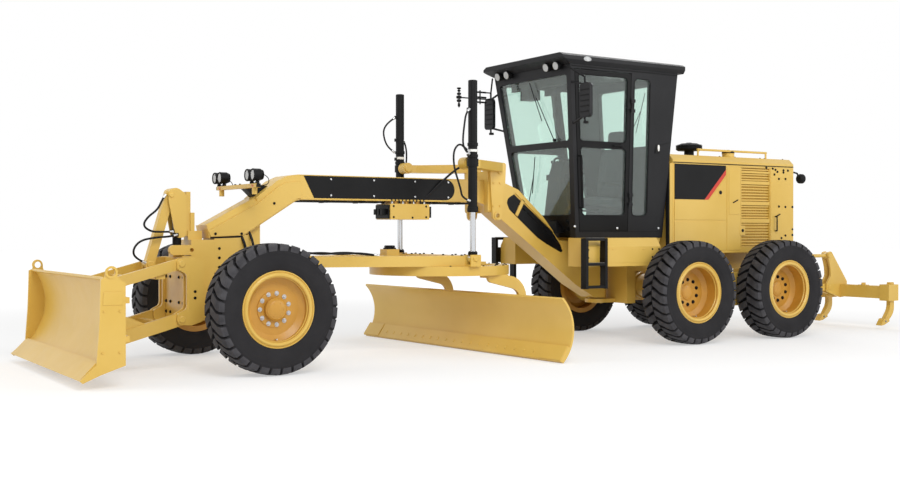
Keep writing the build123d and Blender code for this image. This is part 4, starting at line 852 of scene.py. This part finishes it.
def makeFarMirrorArm():
    # Arm that carries a small convex mirror forward of the far mirror
    y = -900
    forms = [(addRod, (2185, y, 2905), (2651, y, 2905), 8, 10),
             (addRod, (2651, y, 2785), (2651, y, 3022), 9, 10),
             (addRod, (2345, y, 2840), (2345, y, 3010), 9, 10),
             (addRod, (2185, y, 2986), (2262, y, 2986), 8, 10)]
    for z, radius, tall in postBeads:
        rows = [(0, 0), (radius * 0.8, 0), (radius, tall * 0.3), (radius, tall * 0.7), (radius * 0.8, tall),
                (0, tall)]
        forms.append((addTurned, rows, upright(2651, y, z), 18))
    forms += [(addRod, (2255, y, z), (2412, y, z), 11, 10) for z in (2865, 2925, 2986)]
    makePiece("farMirrorArm", "blackPlastic", "rear_frame", forms)


# Side of the cab, the gap to it, and spindle, arm's tip and blade's ends as (y, z)
wiperRows = [("front", 12, (330, 2330), (60, 2850), (140, 2560), (-20, 3010)),
             ("front", 12, (-300, 1560), (-120, 1960), (-180, 1740), (-60, 2160)),
             ("rear", -12, (-200, 2330), (80, 2760), (0, 2500), (150, 2980))]


def offPane(face, out, pair, gap=0):
    return (cabAt(face, pair[1]) + out + math.copysign(gap, out), *pair)


def makeCabFront():
    body = "rear_frame"
    forms = []
    for face, out, pivot, tip, low, high in wiperRows:
        arm = [offPane(face, out, pivot, 8), offPane(face, out, tip, 2)]
        rubber = [offPane(face, out, low, -7), offPane(face, out, high, -7)]
        spindle = facing(offPane(face, out, pivot), (out, 0, 0))
        forms += [(addRod, *arm, 5, 8), (addRod, *rubber, 5, 8),
                  (addTurned, [(0, -12), (18, -12), (18, 14), (0, 16)], spindle, 16)]
    makePiece("wipers", "blackPlastic", body, forms)
    # Visor strip and instrument pod at the top of the windscreen
    makePiece("visor", "blackPlastic", body,
              [(addBox, 2080, 2120, -560, 560, 2960, 3080), (addBox, 1930, 2090, -420, -240, 2850, 3000),
               (addRod, (1960, -60, 2960), (1960, -300, 2990), 16, 12),
               (addBox, 1940, 1975, -100, 150, 2880, 2960)], 8)
    # Work lamps under the front edge of the roof
    spots = [facing((2300, y, 3140), (0.96, 0, -0.28), (0, 1, 0)) for y in (-560, -380, 380, 560)]
    housing = [(0, -40), (40, -40), (52, -20), (52, 24), (46, 28), (0, 28)]
    makePiece("roofLampHousings", "blackPlastic", body, [(addTurned, housing, spot, 24) for spot in spots],
              1.5)
    lens = [(0, 27), (45, 27), (43, 32), (0, 34)]
    makePiece("roofLampLenses", "lampGlass", body, [(addTurned, lens, spot, 24) for spot in spots])
    # Beacon base and aerial foot on the roof, and the seams of its skin
    makePiece("roofFittings", "blackPlastic", body,
              [(addCap, upright(760, 520, 3246), 46, 10, -4, (16, 4), 28),
               (addRod, (800, 620, 3236), (800, 620, 3258), 8, 10)], 1)
    makePiece("roofSeams", "cabPaint", body,
              [(addBox, 570, 2380, y - 4, y + 4, 3246, 3262.6) for y in (-560, 560)], 1)


for hand, end in sides:
    makeCabSide(hand, end)
makeFarMirrorArm()
makeCabFront()
print("cab ready")


# Seat: crowned cushions with sewn channels on the pedestal
# name, middle, half sizes, lean in degrees, crown, channels across, fill
seatRows = [("seatCushion", (1205, 0, 1625), (232, 246, 66), 4, 0.24, (-0.42, 0.42), 0.7),
            ("seatBack", (1008, 0, 1990), (54, 236, 300), 8, 0.2, (-0.42, 0.42), 0.7),
            ("seatHeadrest", (945, 0, 2418), (44, 136, 88), 5, 0.2, (), 0.8)]


def makeCushion(name, middle, half, lean, crown, channels, fill):
    shape = bmesh.new()
    bmesh.ops.create_cube(shape, size=2)
    bmesh.ops.subdivide_edges(shape, edges=shape.edges, cuts=23, use_grid_fill=True)
    tilt = Matrix.Rotation(math.radians(-lean), 4, "Y")
    place = Matrix.Translation(at(*middle)) @ tilt @ Matrix.Scale(0.001, 4)
    thin = min(range(3), key=lambda k: half[k])
    wide = [k for k in range(3) if k != thin]
    for vert in shape.verts:
        p = vert.co / sum(abs(c) ** 5 for c in vert.co) ** 0.2
        a, b = p[wide[0]], p[wide[1]]
        p[thin] *= 1 + crown * (1 - a * a) * (1 - b * b) - crown * 0.35
        # The sides pull in between the corners
        p[wide[0]] *= 1 - 0.03 * (1 - b * b)
        p[wide[1]] *= 1 - 0.03 * (1 - a * a)
        for line in channels:
            p[thin] *= 1 - 0.16 * math.exp(-((vert.co[1] - line) / 0.035) ** 2)
        vert.co = place @ Vector([p[k] * half[k] for k in range(3)])
    thing = finishPiece(name, shape, "seatCloth", "rear_frame", sharp=60)
    return thing


def makeSeat():
    cushion, back, headrest = [makeCushion(*row) for row in seatRows]
    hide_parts("seat")
    forms = [(addBox, 1030, 1280, -150, 150, 1270.5, 1420), (addBox, 980, 1420, -225, 225, 1532, 1556)]
    # Bellows of the seat's spring
    for k in range(7):
        out = k % 2 * 8
        forms.append((addBox, 1024 - out, 1286 + out, -156 - out, 156 + out, 1420 + k * 16, 1436 + k * 16))
    forms += [(addRod, (985, y, 2270), (952, y, 2380), 8, 10) for y in (-40, 40)]
    for y in (-290, 290):
        forms.append((addBox, 1060, 1400, y - 34, y + 34, 1830, 1872))
        forms.append((addRod, (1060, y * 0.86, 1700), (1090, y, 1850), 14, 10))
    makePiece("seatBase", "blackPlastic", "rear_frame", forms, 4)


def makeControls():
    # Levers with knobs, pedals and a display beside the steering column
    forms = [(addBox, 1700, 1718, -110, 110, 1990, 2110)]
    for hand, _ in sides:
        forms.append((addBox, 1690, 1850, *span(hand, 132, 226), 1900, 1966))
        for k in range(4):
            x, y = 1700 + k * 34, hand * (190 + k * 8)
            forms.append((addRod, (x, hand * (176 + k * 8), 1960), (x - 30, y, 2110), 5, 8))
            forms.append((addTurned, [(0, 0), (12, 2), (15, 14), (12, 30), (0, 36)],
                          upright(x - 30, y, 2104), 14))
    forms += [(addBox, 1880, 1900, y, y + 70, 1300, 1420) for y in (-120, 90, 190)]
    # Steering column's casing, from the floor up to the wheel
    casing = [(1800, 1271), (1975, 1271), (1965, 1500), (1900, 1960), (1840, 2110), (1740, 2090),
              (1770, 1700)]
    forms.append((addPrism, casing, "y", -110, 120))
    makePiece("controls", "blackPlastic", "rear_frame", forms, 3)


makeSeat()
makeControls()
print("cab inside ready")


# Front frame: beam panels, painted shade in the neck, bolts, hydraulic fittings and bosses
beamPanel = {"front": 5206, "frontFoot": 5090, "rear": 3397, "low": 1632, "high": 1856, "side": 150}
neckShadeCorners = [(2690, 1645), (2655, 1700), (2570, 1712), (2032, 1298), (1905, 1135), (1862, 1030),
               (1880, 1018),
               (2240, 1222), (2630, 1535), (2690, 1600)]
neckStripCorners = [(2466, 1662), (2426, 1640), (2528, 1462), (2560, 1486)]
nosePlateCorners = [(6190, 1242), (6212, 1296), (5712, 1562), (5488, 1738), (5400, 1782), (5236, 1792),
                    (5236, 1626), (5274, 1624), (5860, 1256)]
# Corners of the thin black strip under the nose's side plate, a painted shadow
nosePaintedShadowCorners = [(6192, 1226), (6190, 1240), (5858, 1253), (5858, 1236)]


def makeBeamSide(hand, end):
    body = "front_frame"
    y0 = beamPanel["side"]
    low, high, rear = beamPanel["low"], beamPanel["high"], beamPanel["rear"]
    radius = (high - low) / 2
    # The panel ends in a half round behind and slants in front
    corners = [(beamPanel["frontFoot"], low), (beamPanel["front"], high)]
    for k in range(13):
        angle = math.pi / 2 + math.pi * k / 12
        corners.append((rear + radius + radius * math.cos(angle),
                        (low + high) / 2 + radius * math.sin(angle)))
    makePiece("beamPanel" + end, "blackPaint", body,
              [(addPrism, corners, "y", *span(hand, y0 + 0.2, y0 + 4))], 1.2)
    places = [(x, hand * (y0 + 4), z) for x in (3480, 3900, 4400, 4900) for z in (1662, 1826)]
    makeBolts("beamPanelBolts" + end, places, 8, "zincPlate", body, (0, hand, 0))
    # A black sheet with black rods on the neck between its bands is painted shade of the recess there
    forms = [(addPrism, neckShadeCorners, "y", *span(hand, 115.3, 118))]
    for k in range(5):
        x, z = 2500 - k * 120, 1600 - k * 94
        forms.append((addRod, (x, hand * 121, z), (x - 90, hand * 121, z - 72), 9, 10))
    makePiece("neckPaintedShade" + end, "blackPaint", body, forms, 1)
    makePiece("neckStrip" + end, "yellowPaint", body,
              [(addPrism, neckStripCorners, "y", *span(hand, 116, 130))], 2)
    # Bolts of the nose and the bolster
    places = [(6144, hand * 164, 1272), (5876, hand * 164, 1272), (5532, hand * 164, 1572)]
    places += [(x, hand * 150, z) for x in (5830, 6100) for z in (950, 1040, 1130)]
    makeBolts("noseBolts" + end, places, 11, "blackPaint", body, (0, hand, 0))
    # Side plate of the nose, which stands over the bolster, and a thin black strip under it, a painted shadow
    # for the gap
    makePiece("nosePlate" + end, "yellowPaint", body,
              [(addPrism, nosePlateCorners, "y", *span(hand, 150.2, 164))], 3)
    makePiece("nosePaintedShadow" + end, "blackPaint", body, [(addPrism, nosePaintedShadowCorners, "y", *span(hand, 150.2, 152))])
    # Weld beads along the beam
    makePiece("beamWelds" + end, "yellowPaint", body,
              [(addRod, (5246, hand * 150, 1618), (3090, hand * 150, 1618), 5, 8),
               (addRod, (5246, hand * 150, 1862), (2960, hand * 150, 1862), 4, 8)])


def makeValves():
    # Fittings, hose ends and caps over the valve box under the beam
    body = "front_frame"
    kinds = [[], [], []]
    for k in range(10):
        x = 3790 + k * 44
        kinds[k % 3] += [(addTurned, [(0, -2), (13, -2), (13, 14), (9, 16), (9, 26), (0, 26)],
                          upright(x, y, 1584), 6) for y in (160, -60)]
        kinds[1].append((addRod, (x, 160, 1600), (x, 138, 1650), 8, 10))
    makePiece("valveFittings", "zincPlate", body, kinds[0])
    makePiece("valveHoseEnds", "hoseRubber", body, kinds[1])
    makePiece("valveCaps", "rimPaint", body, kinds[2])
    makePiece("valveBlocks", "blackPaint", body,
              [(addBox, 4232, 4248, -90, 190, 1430, 1575), (addBox, 3700, 3751, -70, 160, 1440, 1560)]
              + [(addBox, 4246, 4300, y, y + 46, 1470, 1530) for y in (-40, 30, 100)], 3)
    places = [(x, 200, z) for x in (3790, 4190) for z in (1445, 1560)] + [(3960, 200, 1440)]
    makeBolts("valveBoxBolts", places, 9, "blackPaint", body)
    # Steel pipes along the beam's underside with their clamps
    forms = []
    for y in (-96, -70, -44, 44, 70, 96):
        forms += [(addRod, (4240, y, 1602), (5200, y, 1602), 9, 12),
                  (addRod, (3120, y, 1602), (3760, y, 1602), 9, 12)]
    for hand, _ in sides:
        forms += [(addBox, x - 14, x + 14, *span(hand, 34, 106), 1588, 1615)
                  for x in (3300, 3600, 4500, 4900)]
    makePiece("beamPipes", "blackPaint", body, forms, 1)


def makeSaddleTrim():
    # Rings round the trunnions and the link's eyes, and the end plates of the bosses
    body = "front_frame"
    forms = []
    for hand, _ in sides:
        forms += [(addRing, sideways(hand, 3560, 684, 2011), 34, 50, 0.2, 8),
                  (addRing, sideways(hand, 2904, 262, 1468), 26, 44, 0.2, 10),
                  (addCap, sideways(hand, 2870, 262, 1960), 34, 10, 0, (6, 4), 32),
                  (addCap, facing((3560, hand * 560, 2011), (0, -hand, 0)), 46, 10, 0, (6, 4), 32)]
    makePiece("saddleCaps", "yellowPaint", body, forms, 1.5)
    for hand, end in sides:
        places = [(2915 + 62 * a, hand * 262, 1700 + 180 * b) for a, b in around(4, 1, 0.5)]
        makeBolts("saddleBolts" + end, places, 11, "yellowPaint", body, (0, hand, 0))
    places = [(x, y, 1960) for x in (2850, 2980) for y in (-180, -120, 120, 180)]
    makeBolts("collarBolts", places, 13, "yellowPaint", body, (0, 0, 1))


def makeLamps():
    body = "front_frame"
    lens, rims, feet = [], [], []
    for y in (-488, -352, 352, 488):
        spot = facing((5850, y, 1835), (1, 0, 0))
        lens.append((addTurned, [(0, 45), (48, 45), (46, 50), (20, 54), (0, 54)], spot, 36))
        rims.append((addTurned, [(48, 44), (59, 40), (60, 48), (56, 56), (49, 56)], spot, 36, True))
        rims += [(addRing, spot, 30, 46 + k * 3, -50 + k * 8, -47 + k * 8, 28) for k in range(5)]
        feet += [(addCap, upright(5850, y, 1750), 20, 22, 0, (6, 4), 20),
                 (addBox, 5838, 5862, y - 30, y + 30, 1786, 1796)]
    makePiece("workLampLenses", "lampGlass", body, lens)
    makePiece("workLampRims", "blackPlastic", body, rims)
    makePiece("workLampFeet", "blackPlastic", body, feet, 1)
    # Turn lamps at the ends of the crossbar, the posts under it and its yellow sleeve
    makePiece("turnLampLenses", "amberGlass", body,
              [(addBox, 5866, 5877, *span(hand, 400, 440), 1720, 1744) for hand, _ in sides], 2)
    makePiece("lampPosts", "yellowPaint", body,
              [(addCap, upright(5850, hand * 420, 1650), 26, 60, 0, (4, 4), 20) for hand, _ in sides])
    makePiece("lampBarSleeve", "yellowPaint", body, [(addBox, 5827, 5873, -505, 505, 1712, 1753)], 3)
    makeBolts("lampBarBolts", [(5850, y, 1753) for y in (-420, -60, 60, 420)], 10, "blackPaint", body,
              (0, 0, 1))


for hand, end in sides:
    makeBeamSide(hand, end)
makeValves()
makeSaddleTrim()
makeLamps()
print("front frame ready")


# Lift cylinders: pale band, gland nut, port blocks and the ball joint of the rod
liftTrim = {"x": 3560, "y": 750, "portsLeft": (1612, 2122, 2560, 2096),
            "portsRight": (1612, 2122, 2600, 2340)}
glandRows = [(33, -3), (52, -3), (58, 6), (58, 44), (55, 48), (47, 58), (47, 62), (33, 62)]
socketRows = [(31, 0), (47, 0), (50, 8), (50, 26), (42, 34), (31, 34)]


def makeLiftTrim(hand, end):
    side = end.lower()
    barrel, rod = "lift_barrel_" + side, "lift_rod_" + side
    x, y = liftTrim["x"], hand * liftTrim["y"]

    def level(z):
        return upright(x, y, z)

    makePiece("barrelBand_" + side, "whiteEnamel", barrel, [(addRing, level(2120), 47, 50.5, 0, 26, 40)])
    collars = [(addTurned, [(47.5, 0), (56, 2), (56, 34), (47.5, 36)], level(z), 40, True)
               for z in (2180, 2060)]
    makePiece("barrelCollars_" + side, "blackPaint", barrel, collars + [
        (addTurned, glandRows, level(1496), 40, True),
        (addTurned, [(0, -8), (44, -8), (46, 0), (40, 5), (0, 6)], level(2861), 40)])
    makePiece("barrelPorts_" + side, "blackPaint", barrel,
              [(addBox, x + 40, x + 66, y - 18, y + 18, z - 18, z + 18) for z in liftTrim["ports" + end]], 3)
    screws = [(addPlug, upright(x + a, y + b, 1050), 6, 30, 40) for a, b in around(6, 40)]
    makePiece("rodSocket_" + side, "blackPaint", rod,
              [(addTurned, socketRows, level(1050), 32, True)] + screws)


for hand, end in sides:
    makeLiftTrim(hand, end)
print("lift cylinders ready")


# Drawbar, circle and moldboard
blade = {"circleX": 3500, "face": 3196, "radius": 413, "height": 610, "clearance": 20, "angle": 3.1,
         "half": 1829}


def bladeWay(x, y, z):
    turn = math.radians(blade["angle"])
    return (x * math.cos(turn) - y * math.sin(turn), x * math.sin(turn) + y * math.cos(turn), z)


def bladePlace(x, y, z):
    shift = -(blade["face"] + 67 - blade["circleX"]) * math.tan(math.radians(blade["angle"]))
    ahead, across, height = bladeWay(x - blade["circleX"], y + shift, z)
    return (blade["circleX"] + ahead, across, height)


def edgePoint(share, out=0.0):
    # Point on the slanting cutting edge, a share of the way up it and out from its face
    rise = blade["height"] / 2
    footX = blade["face"] + blade["radius"] - math.sqrt(blade["radius"] ** 2 - rise ** 2)
    return (footX + 22 - 98 * share + out * 0.815, blade["clearance"] + 10 + 138 * share + out * 0.579)


def makeBladeTrim():
    x, z = edgePoint(0.42)
    outward = bladeWay(0.815, 0, 0.579)
    makePiece("edgeBolts", "yellowPaint", "moldboard",
              [(addTurned, [(0, -2), (19, -2), (19, 3), (15, 6), (0, 6.5)],
                facing(bladePlace(x, k * 152.4, z), outward), 20) for k in range(-11, 12)])
    # End bits of the cutting edge
    shape = bmesh.new()
    corners = [edgePoint(share, out) for share, out in ((0.02, 0.5), (0.98, 0.5), (0.98, 7), (0.02, 7))]
    for hand, _ in sides:
        addLoft(shape, [[shape.verts.new(at(*bladePlace(x, y, z))) for x, z in corners]
                        for y in (hand * (blade["half"] - 330), hand * (blade["half"] - 2))])
    finishPiece("endBits", shape, "yellowPaint", "moldboard", 1.5)
    # Wear strips on the slide rails behind the moldboard
    makePiece("railPads", "wornSteel", "blade_carrier",
              [(addRod, bladePlace(3120, y - 60, z + 24), bladePlace(3120, y + 60, z + 24), 7, 10)
               for z in (150, 455) for y in (-610, 610)])


def makeCircleTrim():
    top = [(addBolt, upright(3500 + x, y, 929.5), 15) for x, y in around(4, 640, 0.5)]
    rim = [(addCap, upright(3500 + x, y, 929.5), 10, 6, -2, (3, 3), 12) for x, y in around(24, 735, 7 / 15)]
    makePiece("circleBolts", "blackPaint", "circle", top + rim)
    # Pin heads where the blade's carrier tilts
    makePiece("tiltPinHeads", "yellowPaint", "circle",
              [(addCap, facing(bladePlace(2985, hand * 690 - 13, 240), bladeWay(0, hand, 0)), 34, 10, -2)
               for hand, _ in sides], 1)


def makeDrawbarTrim():
    forms = []
    for hand, _ in sides:
        for y, out in ((688, -hand), (812, hand)):
            forms.append((addCap, facing((3560, hand * y, 1012), (0, out, 0)), 30, 8, -3, (6, 4), 24))
    makePiece("drawbarPinHeads", "yellowPaint", "drawbar", forms, 1)
    # Drive motor of the circle with its flange and hose ports
    ports = [(addCap, facing((4125, y, 1127), (0, y, 0)), 12, 30, 0, (3, 4), 16) for y in (-46, 46)]
    makePiece("circleMotor", "blackPaint", "drawbar",
              [(addTurned, [(0, 0), (70, 0), (70, 12), (58, 16), (58, 34), (50, 40), (0, 40)],
                upright(4125, 0, 1105), 36)] + ports, 2)
    places = [(x, y, 1040) for x in (3440, 3600) for y in (-600, -420, -240, 240, 420, 600)]
    makeBolts("drawbarBolts", places, 12, "blackPaint", "drawbar", (0, 0, 1))


makeBladeTrim()
makeCircleTrim()
makeDrawbarTrim()
print("blade ready")


# Push blade: bolts, wear plates, raised plate, fittings of the head
def makeDozerSide(hand, end):
    def pinHead(x, y, z):
        return (addCap, sideways(hand, x, y, z), 32, 8)

    # Pins in the cheek with its raised edge, and pins in the blade
    edge = (addRod, (6500, hand * 400, 560), (6500, hand * 400, 915), 4, 8)
    makePiece("cheekPins" + end, "yellowPaint", "front_frame",
              [pinHead(6560, 400, 480), pinHead(6560, 400, 995), edge], 1)
    makeBolts("cheekBolts" + end, [(6436, hand * 400, z) for z in (735, 675)], 11, "blackPaint",
              "front_frame",
              (0, hand, 0))
    makePiece("bladePins" + end, "yellowPaint", "dozer_blade",
              [pinHead(7220, 400, 300), pinHead(7220, 400, 815)], 1)
    y = hand * 1265
    makePiece("endPlateBlank" + end, "yellowPaint", "dozer_blade",
              [(addPrism, [(7372, 690), (7540, 690), (7532, 800), (7372, 800)], "y",
                *span(hand, 1265, 1270))], 1.5)
    makeBolts("endPlateBolts" + end, [(7400, y, 640), (7530, y, 640), (7400, y, 300), (7540, y, 300)], 9,
              "yellowPaint", "dozer_blade", (0, hand, 0))
    makePiece("bladeEyeRing" + end, "yellowPaint", "dozer_blade",
              [(addRing, facing((7468, y, 960), (0, hand, 0)), 33, 52, 0, 7)], 1)


def makeDozerTrim():
    makePiece("headPinHeads", "yellowPaint", "dozer_lift_head",
              [(addCap, sideways(hand, 6545, 75, 1640), 24, 8) for hand, _ in sides], 1)
    makePiece("headPorts", "blackPaint", "dozer_lift_head",
              [(addBox, 6480, 6520, 46, 86, 1244, 1280), (addBox, 6520, 6556, 46, 86, 1274, 1310)], 3)
    makePiece("strutPinHeads", "yellowPaint", "dozer_upper_arms",
              [(addCap, sideways(hand, 6745, 62, 985), 34, 8) for hand, _ in sides], 1)
    for hand, end in sides:
        makeDozerSide(hand, end)
    makePiece("pushEdgeBolts", "wornSteel", "dozer_blade",
              [(addTurned, [(0, -2), (17, -2), (17, 3), (13, 6), (0, 6.5)],
                facing((7640, k * 165, 152), (0.7, 0, 0.72)), 20) for k in range(-7, 8)])
    # Guide post's wear strips
    makePiece("guideStrips", "wornSteel", "front_frame",
              [(addBox, 6395.2, 6398, y - 7, y + 7, 1330, 1640) for y in (-38, 38)])
    places = [(6490, y, z) for y in (-240, 240, -120, 120) for z in (520, 620, 860, 960)]
    makeBolts("mountBolts", places, 13, "blackPaint", "front_frame", (1, 0, 0))


# Ripper: pins, wedge bolts of the pockets and worn points
def makeRipperTrim():
    body = "ripper_frame"
    makePiece("ripperPins", "yellowPaint", body,
              [(addCap, facing((-2630, y + side * 56, z), (0, side, 0)), 30, 7, 0, (6, 4), 24)
               for y in (215, -215) for z in (530, 960) for side in (1, -1)], 1)
    places = [(-3020, y + side * 48, z) for y in (-1000, 0, 1000) for z in (430, 535) for side in (1, -1)]
    makeBolts("pocketBolts", places, 11, "blackPaint", body, (-1, 0, 0))
    makePiece("pointPins", "wornSteel", body,
              [(addCap, facing((-2800, y + side * 42, 108), (0, side, 0)), 13, 6, -1, (4, 3), 16)
               for y in (-1000, 0, 1000) for side in (1, -1)])
    forms = []
    for y in (-600, 600):
        forms += [(addBox, -2960, -2880, y - 6, y + 6, 566, 600),
                  (addBox, -2960, -2880, y - 60, y + 60, 565.2, 572)]
    makePiece("beamLugs", "yellowPaint", body, forms, 2)


makeDozerTrim()
makeRipperTrim()
print("front and rear tools ready")


# Side boxes, steps, chain cases, articulation joint and axle pins
def makeChassisSide(hand, end):
    tandem = "tandem_" + end.lower()
    hinges = [(addBox, x - 20, x + 20, *span(hand, 813, 818), 1085, 1098) for x in (1250, 1700)]
    makePiece("boxLids" + end, "yellowPaint", "rear_frame",
              [(addBox, 1150, 1800, *span(hand, 810.2, 813), 940, 1100)] + hinges, 2)
    places = [(x, hand * 810, z) for x in (1010, 1110, 1830, 2060) for z in (1000, 1090)]
    makeBolts("boxBolts" + end, places, 9, "blackPaint", "rear_frame", (0, hand, 0))
    makePiece("stepTreads" + end, "wornSteel", "rear_frame",
              [(addBox, x, x + 24, *span(hand, 832, 898), z + 0.2, z + 4)
               for z in (676, 945, 1220) for x in range(1900, 2101, 40)])
    # Cover plates of the chain cases with their bolts
    forms = [(addTurned, [(76, 0), (150, 0), (150, 12), (140, 16), (76, 16)],
              sideways(hand, x, 820, 595), 48, True) for x in (-755, 755)]
    forms.append((addCap, sideways(hand, 0, 820, 595), 120, 8, 0, (10, 4), 48))
    makePiece("tandemCovers" + end, "yellowPaint", tandem, forms, 1.5)
    spots = [(x + a, hand * 836, 595 + b) for x in (-755, 755) for a, b in around(10, 128, 0.5)]
    spots += [(a, hand * 832, 595 + b) for a, b in around(8, 92)]
    makeBolts("tandemBolts" + end, spots, 9, "blackPaint", tandem, (0, hand, 0))


def makeChassisTrim():
    for hand, end in sides:
        makeChassisSide(hand, end)
    # Rings and bolts of the articulation joint
    forms = []
    for z, way in ((1150, 1), (500, -1)):
        spot = facing((1250, 0, z), (0, 0, way))
        forms.append((addCap, spot, 80, 58, 46, (10, 4), 40))
        forms += [(addPlug, shifted(spot, a, b), 9, 58, 68) for a, b in around(6, 64)]
    makePiece("jointCaps", "yellowPaint", "rear_frame", forms, 1)
    # Axle pin's cap and the lean pins' heads
    makePiece("axlePinCap", "yellowPaint", "front_frame",
              [(addCap, facing((6130, 0, 640), (1, 0, 0)), 62, 10, 0, (8, 6), 32)], 1)
    makePiece("leanPinHeads", "yellowPaint", "front_axle",
              [(addCap, facing((x, y, 430), (way, 0, 0)), 34, 7, 0, (6, 4), 24)
               for y in (690, -690) for x, way in ((5870, -1), (6030, 1))], 1)


makeChassisTrim()
print("chassis ready")
